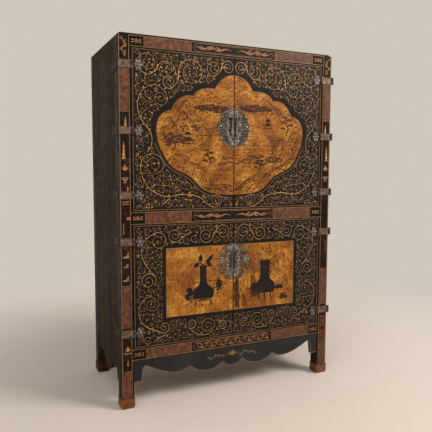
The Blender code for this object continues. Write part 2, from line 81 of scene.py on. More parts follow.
# Heights of raised shapes, above the ground they lie on
SUNK = -0.08
PAINT_H = 0.13
LAYER_H = 0.015
FINE_LAYER_H = 0.0012
LINE_H = 0.22
STEM_H = 0.75
CURL_H = 0.55
GROUND_H = 0.10
PAINT_BASE = GROUND_H - 0.03

# Widths of painted and gilt lines
STEM_W = 5.0
CURL_W = 3.0
BRUSH = 2.0
EDGE_LINE_W = 2.6
ARRIS_W = 5.2
BORDER_W = 2.0
BORDER_INSET = 5.5
CREST = 0.42
BRUSH_CREST = 0.8
FEATHER = (1.0, 1.0, 0.4, 0.0)

# Gold grounds: the lobed panel of the upper doors as curves (control, end) from its top,
# and the plain panel of the lower doors
LOBES_TOP = (0, 1702)
LOBES = (
    ((74, 1702), (112, 1625)),
    ((204, 1634), (235, 1582)),
    ((322, 1590), (355, 1505)),
    ((434, 1492), (434, 1405)),
    ((434, 1340), (400, 1288)),
    ((372, 1222), (310, 1196)),
    ((252, 1180), (205, 1124)),
    ((168, 1084), (98, 1078)),
    ((40, 1070), (0, 1072)),
)
LOBES_MIDDLE = (0, 1390)
LOBE_STEPS = 12
PANEL_U = 382
PANEL_V = (449, 806)
GROUND_MARGIN = 22
LOWER_EDGE_MARGIN = 17

# Main stems on the left doors: points of the stem, then the eye of its volute, turns and spin
UPPER_VINES = (
    (((-422, 1720), (-430, 1694), (-458, 1673)), (-474, 1726), 1.8, -1),
    (((-458, 1673), (-430, 1695), (-416, 1721), (-386, 1738), (-350, 1730), (-327, 1703)),
     (-374, 1699), 1.7, -1),
    (((-311, 1690), (-316, 1648), (-350, 1609)), (-362, 1643), 1.7, -1),
    (((-318, 1640), (-313, 1690)), (-243, 1694), 2.1, -1),
    (((-71, 1757), (-79, 1718), (-115, 1684)), (-119, 1724), 1.8, -1),
    (((-79, 1722), (-67, 1754)), (-37, 1736), 1.8, -1),
    (((-477, 1294), (-459, 1320), (-453, 1355), (-461, 1392), (-490, 1428), (-518, 1474), (-525, 1532),
      (-501, 1592), (-445, 1622), (-393, 1600), (-370, 1560)), (-408, 1560), 1.7, -1),
    (((-244, 1077), (-307, 1080), (-370, 1071), (-427, 1086), (-471, 1116), (-500, 1162), (-513, 1215),
      (-499, 1262), (-455, 1286), (-410, 1268), (-393, 1234)), (-442, 1230), 1.8, -1),
    (((-307, 1080), (-244, 1077), (-188, 1058), (-148, 1024), (-106, 1012), (-70, 1038)),
     (-103, 1046), 1.7, 1),
    (((-353, 1071), (-378, 1049), (-411, 1020)), None, 0, 0),
)
LOWER_VINES = (
    (((-513, 795), (-508, 828), (-484, 862), (-446, 886)), (-424, 846), 1.8, -1),
    (((-509, 828), (-513, 795), (-496, 739), (-466, 696), (-440, 662), (-436, 622)), None, 0, 0),
    (((-446, 670),), (-478, 646), 1.7, 1),
    (((-240, 886), (-274, 872), (-308, 846)), (-335, 872), 1.8, -1),
    (((-94, 900), (-108, 878), (-123, 850)), (-161, 864), 1.8, -1),
    (((-123, 854), (-106, 886), (-92, 902)), (-62, 878), 1.8, -1),
    (((-432, 384), (-477, 404), (-515, 440), (-529, 495), (-508, 548), (-467, 565), (-427, 538)),
     (-460, 523), 1.7, -1),
    (((-477, 404), (-432, 384), (-414, 374)), (-394, 398), 1.6, 1),
    (((-360, 362), (-415, 350), (-455, 326)), None, 0, 0),
    (((-262, 380),), (-243, 400), 1.6, 1),
    (((-250, 372), (-232, 352), (-190, 333), (-143, 336), (-110, 372)), (-152, 378), 1.8, 1),
    (((-88, 384),), (-65, 370), 1.7, -1),
)
VOLUTE_INNER = 0.16

# Frame ornament: where blocks, red panels and cartouches change along a rail, from its middle out
CARTOUCHE_U = 236
RED_PANEL_U = (244, 490)
BLOCK_U = 528
CLOUD_U = 121
CLOUD_L = 206
CLOUD_W = 11.0
CLOUD_RISE = 6.5
TRELLIS_PITCH = 14.0
POST_LINES_U = (566, 615)
POST_LINES_FOOT = 58
POST_U = 591
POST_WAVE_V = 1742
RED_POST_PANELS = ((1490, 1690), (424, 628), (64, 190))
POST_PANEL_U = (572, 610)

# Small figures of the posts: half profiles as (half width, rise), and a sail as a whole outline
FLAME = ((4, 0), (9, 12), (6, 26), (8, 34), (4, 50), (1, 72))
PAGODA = (
    (12, 0), (12, 9), (8, 11), (8, 26), (13, 29), (7, 36), (6, 52), (10, 55), (5, 62), (5, 80), (8, 83),
    (3, 91), (1, 118),
)
LOTUS = ((4, 0), (10, 5), (12, 14), (7, 13), (5, 20), (1, 27))
BOWL = ((6, 0), (6, 4), (4, 7), (11, 14), (12, 21))
SAIL = ((-15, 0), (14, 0), (13, 24), (9, 27), (5, 15), (-2, 9), (-14, 6))
# Each figure: shape, shift aside, base, scale, tone, posts that carry it
POST_FIGURES = (
    (FLAME, 5, 1416, 0.64, "figure", "left right"), (PAGODA, -5, 1258, 0.72, "figure", "left right"),
    (LOTUS, 0, 1202, 1.15, "amber", "left right"), (BOWL, 0, 1140, 1.4, "arris", "left right"),
    (FLAME, 13, 1101, 0.38, "figure", "left"), (SAIL, 0, 770, 1.15, "amber", "left"),
    (SAIL, 0, 722, 0.85, "amber", "left"), (SAIL, 0, 654, 1.05, "amber", "left"),
    (LOTUS, 4, 298, 1.0, "amber", "left"), (FLAME, 4, 222, 0.5, "amber", "left"),
    (BOWL, 0, 262, 0.8, "arris", "right"),
)
# Plain painted blocks of the posts: from and to across and up, tone, post that carries it
POST_BLOCKS = (
    ((-609, -571), (1046, 1052), "amber", "left"), ((-607, -573), (1034, 1041), "arris", "left"),
    ((-586, -567), (959, 974), "amber", "left"), ((-604, -598), (888, 940), "arris", "left"),
    ((-605, -569), (283, 292), "arris", "left"),
    ((-610, -601), (722, 800), "red", "right"), ((-610, -572), (200, 352), "red", "right"),
)

# Tendril beside the apron's lotus, on the right
TENDRIL = ((20, 206), (52, 196), (88, 206), (124, 194), (146, 198))

# Lock plates: half sizes of the pierced oval, radius of the scalloped rim, depths off the door
OVAL = (45, 96)
PLATE_REACH = (97, 97)
PLATE_H = (0.3, 2.2)
KEYHOLES = {
    "upper": ((-26, 46, 8), (-26, -13, 8)),
    "lower": (
        (-27, 56, 8), (-34, 32, 6), (-25, 13, 7), (-35, -8, 6), (-25, -28, 8), (-31, -49, 6),
        (-14, 71, 6),
    ),
}
# Height of the dark patches behind the keyholes: painted shade of the lock's cavity
KEYHOLE_SHADE_H = 0.27
PLATE_EAR = ((-76, 8), 16.0)
PLATE_BOSSES = (
    (PLATE_EAR[0], 7.0), ((-66, 58), 4.0), ((-84, 32), 3.6), ((-86, -16), 3.6), ((-70, -54), 4.0),
)
PLATE_CURLS = (
    ((-24, 72), 8, 1), ((-35, 18), 6, -1), ((-35, -36), 7, 1), ((-10, -82), 6, -1), ((-24, -68), 7, 1),
    ((-10, 84), 5, 1),
)
PLATE_STEMS = (
    ((-14, 94), (-40, 87), (-64, 71), (-78, 48), (-68, 34), (-56, 42), (-58, 52)),
    ((-12, -95), (-42, -86), (-66, -69), (-84, -38), (-74, -20), (-60, -26), (-62, -38)),
    ((-44, 24), (-52, 22), (-62, 12)),
    ((-45, -12), (-54, -6), (-62, 2)),
)

# Staples and pulls, and the trim of the hinges: heights are off the door, post or side
PULL_EYE_DROP = 5.0
STAPLE_HALF_W = 4.85
FLOWER_HALF_U = 24.0
LEAF_FLOWER_U = -520.0
LEAF_TOP_H = 2.5
FLANK_FLOWER_U = 89.3
FLANK_TOP_H = 2.3
STRAP_H = (2.0, 2.9)

# Painted pictures: shares of a pavilion's roof and of a boat's hull, then what each picture holds
ROOF = (
    (-1.2, 0.30), (-0.72, 0.36), (-0.4, 0.56), (0.4, 0.56), (0.72, 0.36), (1.2, 0.30), (0.6, 0.26),
    (-0.6, 0.26),
)
HULL = ((-0.5, 0.10), (-0.2, 0.0), (0.25, 0.0), (0.55, 0.14), (0.2, 0.05), (-0.2, 0.05))
# Ridges: crest, angle and lengths of the strokes that fall from it, and their width
RIDGES = (
    (((-410, 1418), (-368, 1470), (-330, 1440), (-290, 1500), (-248, 1462), (-190, 1478)),
     -1.0, (12, 26)),
    (((-300, 1532), (-250, 1578), (-205, 1546), (-160, 1572), (-110, 1540)), -2.2, (9, 18), 2.2),
    (((130, 1560), (178, 1586), (222, 1562), (268, 1540), (330, 1516)), -0.8, (10, 20), 2.2),
    (((-372, 1262), (-322, 1288), (-268, 1252), (-210, 1232), (-150, 1190), (-92, 1172)),
     -1.9, (12, 24)),
    (((60, 1142), (118, 1176), (180, 1168), (238, 1214), (300, 1232), (352, 1276), (398, 1290)),
     -2.3, (12, 26)),
    (((236, 1330), (286, 1378), (330, 1362), (372, 1420), (412, 1402)), -2.0, (12, 24)),
)
# Dashes: centre, half sizes, count, lengths, width and angle
LANDSCAPE_DASHES = (
    (-128, 1520, 92, 20, 90, (14, 50), 3.0), (132, 1534, 96, 18, 80, (14, 50), 3.0),
    (-60, 1110, 110, 22, 60, (10, 36)), (170, 1262, 130, 26, 80, (12, 40), 2.8),
    (-330, 1360, 84, 22, 64, (12, 38), 2.8), (0, PLATE_V["upper"], 92, 98, 150, (8, 26), 3.0, 0.3),
    (0, 1400, 420, 290, 420, (6, 22), 2.2, 0.5), (0, 1400, 420, 290, 260, (6, 20), 1.8),
)
# Half sizes of the brown patch behind the upper lock plates: dirt and painted shade under the openwork
GRIME_AND_SHADE_REACH = (88, 90)
# Half profiles of the vases as (half width, rise)
JAR = (
    (44, 0), (56, 8), (62, 28), (57, 50), (38, 66), (25, 78), (20, 96), (19, 134), (20, 166), (25, 180),
)
BOTTLE = ((44, 0), (58, 8), (63, 30), (60, 52), (44, 70), (33, 84), (30, 116), (31, 160), (36, 186))
# Foot, handle and neck line of the jar's right half
JAR_LINES = (
    (((41, -6), (44, -22), (47, -38)), 5.6, "ink"),
    (((24, 92), (42, 94), (54, 84)), 3.0, "dark"),
    (((6, 90), (5, 166)), 1.2, "ink"),
)
# Leaves in the jar: base and tip, from its mouth
JAR_LEAVES = (
    ((-22, 14), (-58, -10)), ((-18, 16), (-13, 62)), ((16, 10), (56, 52)), ((22, 14), (48, -10)),
)
# Fruit and flowers beside the vases: centre and half sizes
FRUIT = (
    (-84, 600, 18, 24), (-250, 568, 14, 26), (-267, 544, 10, 11), (290, 552, 28, 12),
    (128, 556, 20, 36),
)
STILL_LIFE_DASHES = (
    (-252, 536, 34, 24, 16, (10, 28), 3.0, 0.2), (-92, 590, 34, 24, 16, (10, 28), 3.0, 0.2),
    (130, 534, 34, 24, 16, (10, 28), 3.0, 0.2), (316, 490, 34, 24, 16, (10, 28), 3.0, 0.2),
    (46, 486, 32, 44, 24, (18, 44), 2.6, TAU / 4), (20, 536, 12, 92, 46, (24, 60), 3.4, TAU / 4),
    (0, PLATE_V["lower"], 86, 92, 90, (8, 24), 3.0, 1.2), (0, 623, 380, 176, 320, (5, 18), 2.0, 1.3),
    (205, 630, 180, 165, 170, (8, 26), 2.2, 1.45),
)

# Colours, as 8-bit display values, that several finishes share, and the tones of the gold grounds
DUST = (150, 136, 118)
# Grey of a painted sheen laid over gilt towards the right
SHEEN_GREY_GILT = (104, 90, 75)
TARNISH = (86, 88, 78)
GOLD_TONES = (
    (0.30, (92, 50, 16)), (0.42, (142, 82, 24)), (0.53, (186, 120, 38)),
    (0.64, (218, 160, 74)), (0.78, (160, 96, 32)),
)

# Stage: colours and strength of the surround, size of the floor and where it fades, in metres
SURROUND = (208, 199, 187)
SKY = (246, 242, 236)
SKY_STRENGTH = 0.39
FLOOR_R = 14
FLOOR_SIDES = 64
FLOOR_FADE = (0.8, 3.2)
# Area lights: name, place, target, size, watts, colour
LIGHTS = (
    ("key", (3.1, -3.3, 3.9), (0.0, -0.2, 0.9), 2.0, 186.0, (1.0, 0.97, 0.93)),
    ("fill", (-2.7, -3.3, 3.6), (0.0, 0.0, 0.9), 2.4, 52.0, (1.0, 0.98, 0.96)),
)

# How curls and leaves fill the gaps between main stems
FILL_STEP = 3.6
FILL_R = (6.2, 21.0)
FILL_GAP = 3.4
LEAF_SPACING = 36
LEAF = (14.0, 6.5)
LEAF_TURN = 0.95


def smooth(points, per_span=7):
    """Curve that passes through given points."""
    pts = np.array(points, float)
    if len(pts) < 2:
        return pts
    ext = np.vstack([2 * pts[:1] - pts[1:2], pts, 2 * pts[-1:] - pts[-2:-1]])
    t = np.linspace(0, 1, per_span, endpoint=False)[:, None]
    spans = []
    for a, b, c, d in zip(ext, ext[1:], ext[2:], ext[3:]):
        bend = 2 * a - 5 * b + 4 * c - d
        spans.append(0.5 * (2 * b + (c - a) * t + bend * t ** 2 + (d - a + 3 * (b - c)) * t ** 3))
    return np.vstack([*spans, pts[-1:]])


def spiral(eye, start, turns, spin, inner=VOLUTE_INNER, ease=1.15, per_turn=18):
    """Volute that winds in from a start point to its eye."""
    eye = np.array(eye, float)
    arm = np.array(start, float) - eye
    t = np.linspace(0, 1, int(turns * per_turn) + 2)
    radius = np.hypot(*arm) * (1 - (1 - inner) * t ** ease)
    angle = heading(arm) + spin * TAU * turns * t
    return eye + np.column_stack([radius * np.cos(angle), radius * np.sin(angle)])


def ellipse(u, v, a, b, count):
    angle = np.arange(count) * TAU / count
    return np.column_stack([u + a * np.cos(angle), v + b * np.sin(angle)])


def polar(angle, reach=1.0):
    return reach * np.array((math.cos(angle), math.sin(angle)))


def heading(way):
    return math.atan2(way[1], way[0])


def leaf_outline(base, angle, length, width, steps=5):
    """Pointed leaf from its base along an angle."""
    t = np.linspace(0, 1, steps + 1)
    half = width / 2 * np.sin(math.pi * t ** 0.8)
    along, across = np.append(t, t[-2:0:-1]) * length, np.append(half, -half[-2:0:-1])
    c, s = math.cos(angle), math.sin(angle)
    return np.column_stack([base[0] + along * c - across * s, base[1] + along * s + across * c])


def to_path(points, path):
    """Distance from each point to the nearest point of a path."""
    return np.sqrt(((points[:, None] - path[None]) ** 2).sum(2)).min(1)


def inside(points, outline):
    """Even-odd test of points against a closed outline."""
    hit = np.zeros(len(points), bool)
    for a, b in zip(outline, np.roll(outline, -1, axis=0)):
        if a[1] == b[1]:
            continue
        spans = (points[:, 1] < a[1]) != (points[:, 1] < b[1])
        cross = a[0] + (points[:, 1] - a[1]) * (b[0] - a[0]) / (b[1] - a[1])
        hit ^= spans & (points[:, 0] < cross)
    return hit


def fade_out(t):
    return 1.0 - 0.6 * t


def fade_both(t):
    return np.sin(math.pi * np.clip(t, 0.03, 0.97)) ** 0.6


def front_ground(flip=1, plane=FRONT, rise=0):
    """Place on the cabinet's front: u to the right unless flipped, v up from a given rise."""
    return lambda u, v, h: np.column_stack([flip * u * MM, plane - h * MM, (v + rise) * MM])


def side_ground(side):
    """Place on the outer face of a side: u is the distance behind the front."""
    def place(u, v, h):
        return np.column_stack([side * (HALF_W + h) * MM, FRONT + u * MM, v * MM])
    return place


class Relief:
    """Raised closed shapes on one ground, gathered into one mesh."""

    def __init__(self, place):
        self.place = place
        self.points = []
        self.faces = []
        self.count = 0

    def add(self, points, faces):
        self.points.append(points)
        self.faces += [tuple(self.count + i for i in face) for face in faces]
        self.count += len(points)

    def level(self, flat, height):
        """Flat points placed at one height."""
        return self.place(flat[:, 0], flat[:, 1], np.full(len(flat), float(height)))

    def tube(self, rings):
        """Closed skin over a stack of rings, given as (rings, corners, 3)."""
        stacks, corners = rings.shape[:2]
        faces = []
        for i in range(stacks - 1):
            for k in range(corners):
                n = (k + 1) % corners
                low, high = i * corners, (i + 1) * corners
                faces.append((low + k, low + n, high + n, high + k))
        faces.append(tuple(range(corners))[::-1])
        faces.append(tuple((stacks - 1) * corners + k for k in range(corners)))
        self.add(rings.reshape(-1, 3), faces)

    def ribbon(self, path, width, height, taper=None, base=SUNK, crest=CREST):
        """Flat-topped line with sloping sides along a path."""
        path = np.asarray(path, float)
        ahead = np.gradient(path, axis=0)
        ahead /= np.linalg.norm(ahead, axis=1, keepdims=True) + 1e-9
        aside = np.column_stack([-ahead[:, 1], ahead[:, 0]])
        half = np.full(len(path), width / 2)
        if taper:
            half = half * taper(np.linspace(0, 1, len(path)))
        rows = []
        for across, up in ((-1, base), (-crest, height), (crest, height), (1, base)):
            rows.append(self.level(path + aside * (across * half)[:, None], up))
        self.tube(np.stack(rows, axis=1))

    def patch(self, outline, height, base=SUNK):
        """Flat shape filled inside an outline."""
        outline = np.asarray(outline, float)
        self.tube(np.stack([self.level(outline, h) for h in (base, height)]))

    def pierced(self, outer, holes, height, base):
        """Flat plate with holes through it."""
        bm = bmesh.new()
        loops, edges = [], []
        for outline in (outer, *holes):
            verts = [bm.verts.new((u, v, 0.0)) for u, v in outline]
            edges += [bm.edges.new(pair) for pair in zip(verts, verts[1:] + verts[:1])]
            loops.append(len(verts))
        bmesh.ops.triangle_fill(bm, use_beauty=True, edges=edges)
        bm.verts.index_update()
        flat = np.array([vert.co[:2] for vert in bm.verts])
        fill = [tuple(vert.index for vert in face.verts) for face in bm.faces]
        bm.free()
        count = len(flat)
        rows = [self.level(flat, h) for h in (base, height)]
        faces = fill + [tuple(i + count for i in face) for face in fill]
        first = 0
        for size in loops:
            ring = list(range(first, first + size))
            faces += [(a, b, b + count, a + count) for a, b in zip(ring, ring[1:] + ring[:1])]
            first += size
        self.add(np.vstack(rows), faces)

    def rod(self, start, end, radius, sides=10):
        """Round bar between two (u, v, h) points."""
        start, end = (self.place(*(np.array([c], float) for c in at))[0] for at in (start, end))
        along = Vector(end - start).normalized()
        across = along.orthogonal().normalized()
        other = along.cross(across)
        angles = np.arange(sides) * TAU / sides
        spokes = (np.outer(np.cos(angles), across) + np.outer(np.sin(angles), other)) * radius * MM
        self.tube(np.stack([start + spokes, end + spokes]))

    def dome(self, u, v, radius, height, base=SUNK, sides=10):
        """Rounded boss."""
        rings = []
        for share in (0.0, 0.5, 0.85):
            reach = radius * math.sqrt(1 - share ** 2)
            ring = ellipse(u, v, reach, reach, sides)
            rings.append(self.level(ring, base + (height - base) * share))
        tip = self.level(np.tile((u, v), (sides, 1)), height)
        rings.append(rings[-1] * 0.35 + tip * 0.65)
        self.tube(np.stack(rings))

    def build(self, name, body, material, slot):
        mesh = bpy.data.meshes.new(name)
        mesh.from_pydata(np.vstack(self.points), [], self.faces)
        bm = bmesh.new()
        bm.from_mesh(mesh)
        bmesh.ops.recalc_face_normals(bm, faces=bm.faces)
        bm.to_mesh(mesh)
        bm.free()
        mesh.shade_smooth()
        mesh.set_sharp_from_angle(angle=math.radians(38))
        obj = bpy.data.objects.new(name, mesh)
        bpy.context.scene.collection.objects.link(obj)
        mesh.materials.append(material)
        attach(obj, body)
        return obj


def srgb(red, green, blue):
    """Linear colour of 8-bit display values."""
    def linear(value):
        value /= 255
        return value / 12.92 if value <= 0.04045 else ((value + 0.055) / 1.055) ** 2.4
    return (linear(red), linear(green), linear(blue), 1.0)


class Shader:
    """A material's node tree, with short calls for the nodes used here."""

    def __init__(self, name):
        self.material = bpy.data.materials.new(name)
        self.material.use_nodes = True
        self.tree = self.material.node_tree
        self.bsdf = self.tree.nodes["Principled BSDF"]
        self.coords = self.node("ShaderNodeTexCoord").outputs["Object"]

    def node(self, kind, inputs=None, **settings):
        made = self.tree.nodes.new(kind)
        for key, value in settings.items():
            setattr(made, key, value)
        for key, value in (inputs or {}).items():
            self.set(made.inputs[key], value)
        return made

    def set(self, socket, value):
        if isinstance(value, bpy.types.NodeSocket):
            self.tree.links.new(value, socket)
        else:
            socket.default_value = srgb(*value) if socket.type == "RGBA" else value

    def stretch(self, scale):
        inputs = {"Vector": self.coords, "Scale": scale}
        return self.node("ShaderNodeMapping", inputs).outputs["Vector"]

    def noise(self, scale, detail=4.0, roughness=0.55, vector=None, distortion=0.0):
        inputs = {"Vector": vector or self.coords, "Scale": scale, "Detail": detail,
                  "Roughness": roughness, "Distortion": distortion}
        return self.node("ShaderNodeTexNoise", inputs).outputs["Fac"]

    def cells(self, scale, feature="DISTANCE_TO_EDGE", vector=None):
        inputs = {"Vector": vector or self.coords, "Scale": scale}
        return self.node("ShaderNodeTexVoronoi", inputs, feature=feature).outputs["Distance"]

    def ramp(self, value, stops):
        made = self.node("ShaderNodeValToRGB", {"Fac": value})
        elements = made.color_ramp.elements
        while len(elements) < len(stops):
            elements.new(0.5)
        for element, (place, colour) in zip(elements, stops):
            element.position = place
            grey = not isinstance(colour, tuple)
            element.color = (colour, colour, colour, 1.0) if grey else srgb(*colour)
        return made.outputs["Color"]

    def mask(self, value, low, high):
        inputs = {"Value": value, "From Min": low, "From Max": high}
        return self.node("ShaderNodeMapRange", inputs).outputs["Result"]

    def math(self, operation, a, b=0.0):
        made = self.node("ShaderNodeMath", operation=operation)
        self.set(made.inputs[0], a)
        self.set(made.inputs[1], b)
        return made.outputs[0]

    def mix(self, share, a, b):
        made = self.node("ShaderNodeMix", data_type="RGBA")
        for index, value in ((0, share), (6, a), (7, b)):
            self.set(made.inputs[index], value)
        return made.outputs[2]

    def tint(self, colour, mask, share, other):
        """Colour washed over with another, as far as a mask and a share let it."""
        return self.mix(self.math("MULTIPLY", mask, share), colour, other)

    def finish(self, colour, roughness, bump, bump_mm, metal=0.0, specular=0.5):
        self.set(self.bsdf.inputs["Base Color"], colour)
        self.set(self.bsdf.inputs["Roughness"], roughness)
        self.bsdf.inputs["Metallic"].default_value = metal
        self.bsdf.inputs["Specular IOR Level"].default_value = specular
        made = self.node("ShaderNodeBump", {"Height": bump, "Strength": 0.6, "Distance": bump_mm * MM})
        self.tree.links.new(made.outputs["Normal"], self.bsdf.inputs["Normal"])
        return self.material


def lacquer(name, dark, light, worn, wear=0.62, streak=None, gloss=(0.34, 0.56), specular=0.2,
            grain=5.0):
    """Old lacquer: mottled, finely crackled, rubbed through in small spots."""
    s = Shader(name)
    vector = s.stretch(streak) if streak else s.coords
    clouds = s.noise(grain, 6.0, 0.62, vector, 0.4)
    fine = s.noise(140.0, 5.0, 0.6, vector)
    colour = s.mix(s.mask(clouds, 0.34, 0.68), dark, light)
    crackle = s.mask(s.cells(120.0), 0.03, 0.0)
    colour = s.tint(colour, crackle, 0.12, light)
    spots = s.mask(s.noise(34.0, 8.0, 0.72, vector, 0.8), wear, wear + 0.09)
    colour = s.tint(colour, spots, s.mask(clouds, 0.42, 0.6), worn)
    colour = s.tint(colour, s.mask(fine, 0.64, 0.78), 0.08, DUST)
    roughness = s.ramp(s.noise(18.0, 5.0, 0.6), ((0.3, gloss[0]), (0.7, gloss[1])))
    height = s.math("SUBTRACT", s.math("MULTIPLY", fine, 0.5), s.math("MULTIPLY", crackle, 0.5))
    return s.finish(colour, roughness, height, 0.25, specular=specular)


def gilding(name, bright, deep, worn, roughness=0.42, metal=0.35, spread=(0.32, 0.68), fade=0.0):
    """Gold rubbed to its ground; where asked, the worn colour spreads lower down, partly wear and
    partly painted shade, and a painted sheen greys it towards the right.
    """
    s = Shader(name)
    tone = s.noise(46.0, 6.0, 0.65)
    colour = s.mix(s.mask(tone, *spread), deep, bright)
    rub = s.mask(s.noise(150.0, 6.0, 0.7, distortion=0.5), 0.60, 0.70)
    colour = s.tint(colour, rub, 0.75, worn)
    if fade:
        place = s.node("ShaderNodeSeparateXYZ", {"Vector": s.coords}).outputs
        # Painted shade mixed with wear: the worn colour spreads in noisy spots, more of them lower down
        worn_shade_patches = s.math("MULTIPLY", s.mask(s.noise(9.0, 5.0, 0.6), 0.3, 0.7), fade)
        colour = s.tint(colour, s.mask(place["Z"], 0.98, 0.5), worn_shade_patches, worn)
        # Painted sheen: the gilt greys towards the right
        colour = s.tint(colour, s.mask(place["X"], 0.0, 0.45), fade, SHEEN_GREY_GILT)
    rough = s.ramp(tone, ((0.3, roughness), (0.75, roughness + 0.2)))
    return s.finish(colour, rough, s.noise(420.0, 4.0), 0.12, metal=metal)


def gold_ground(name, level_share, upright_share):
    """Mottled amber gold ground with brown stains, brush marks both ways, flecks and cracks."""
    s = Shader(name)
    broad = s.noise(7.0, 8.0, 0.7, distortion=0.5)
    colour = s.ramp(broad, GOLD_TONES)
    level = s.noise(40.0, 7.0, 0.7, s.stretch((0.35, 1.0, 1.6)), 0.5)
    colour = s.tint(colour, s.mask(level, 0.49, 0.59), level_share, (108, 60, 22))
    blush = s.mask(s.noise(14.0, 6.0, 0.65, distortion=1.0), 0.54, 0.72)
    colour = s.tint(colour, blush, 0.4, (186, 100, 38))
    streaks = s.noise(60.0, 6.0, 0.7, s.stretch((1.6, 1.0, 0.16)))
    colour = s.tint(colour, s.mask(streaks, 0.51, 0.61), upright_share, (112, 66, 28))
    flecks = s.mask(s.noise(84.0, 7.0, 0.75, distortion=0.6), 0.54, 0.64)
    colour = s.tint(colour, flecks, 0.7, (86, 48, 22))
    cracks = s.mask(s.cells(64.0, vector=s.stretch((1.0, 1.0, 0.6))), 0.05, 0.0)
    colour = s.tint(colour, cracks, 0.4, (78, 44, 20))
    sparks = s.mask(s.noise(170.0, 5.0, 0.7), 0.58, 0.70)
    colour = s.tint(colour, sparks, 0.6, (236, 192, 112))
    feather = s.node("ShaderNodeAttribute", attribute_name="feather").outputs["Fac"]
    thin = s.math("ADD", feather, s.math("MULTIPLY", s.noise(90.0, 6.0, 0.7), 0.9))
    colour = s.mix(s.mask(thin, 0.78, 1.3), colour, (38, 27, 20))
    roughness = s.ramp(broad, ((0.3, 0.56), (0.7, 0.42)))
    return s.finish(colour, roughness, s.noise(300.0, 6.0, 0.7), 0.2, metal=0.1, specular=0.2)


def paint(name, colour, other, share=0.7):
    """Brushed pigment that lets its ground through in places."""
    s = Shader(name)
    worn = s.mask(s.noise(70.0, 7.0, 0.7), 0.46, 0.66)
    mixed = s.tint(colour, worn, share, other)
    roughness = s.ramp(worn, ((0.0, 0.5), (1.0, 0.65)))
    return s.finish(mixed, roughness, s.noise(260.0, 4.0), 0.1, specular=0.15)


def aged_metal(name, pale, grey, patina, roughness=0.36, flank=0.0):
    """White brass gone dull, with dark patina, rubbed highlights and, where asked, a flank darkened as
    painted shade.
    """
    s = Shader(name)
    tone = s.noise(60.0, 7.0, 0.68, distortion=0.4)
    colour = s.ramp(tone, ((0.30, patina), (0.48, grey), (0.66, pale)))
    tarnish = s.mask(s.noise(26.0, 5.0, 0.6), 0.52, 0.7)
    colour = s.tint(colour, tarnish, 0.45, TARNISH)
    # Painted shade: the outer side face, past the front corner, is darker
    if flank:
        across = s.node("ShaderNodeSeparateXYZ", {"Vector": s.coords}).outputs["X"]
        corner = HALF_W * MM
        flank_shade_mask = s.mask(s.math("ABSOLUTE", across), corner + 0.0004, corner + 0.0016)
        colour = s.tint(colour, flank_shade_mask, flank, patina)
    rough = s.ramp(tone, ((0.3, roughness + 0.22), (0.7, roughness)))
    height = s.math("ADD", s.noise(180.0, 5.0), s.math("MULTIPLY", s.cells(130.0, "F1"), 0.6))
    return s.finish(colour, rough, height, 0.3, metal=0.82)


def stained_wood(name, scale, dark, light):
    """Thin brown stain over straight-grained boards."""
    s = Shader(name)
    vector = s.stretch(scale)
    grain = s.noise(9.0, 9.0, 0.66, vector, 1.2)
    pores = s.noise(70.0, 6.0, 0.6, vector)
    colour = s.mix(s.mask(grain, 0.32, 0.7), dark, light)
    colour = s.tint(colour, s.mask(pores, 0.55, 0.72), 0.6, (46, 27, 16))
    colour = s.tint(colour, s.mask(s.noise(3.0, 4.0), 0.5, 0.75), 0.4, (64, 38, 22))
    return s.finish(colour, s.ramp(grain, ((0.2, 0.72), (0.8, 0.55))), pores, 0.35)


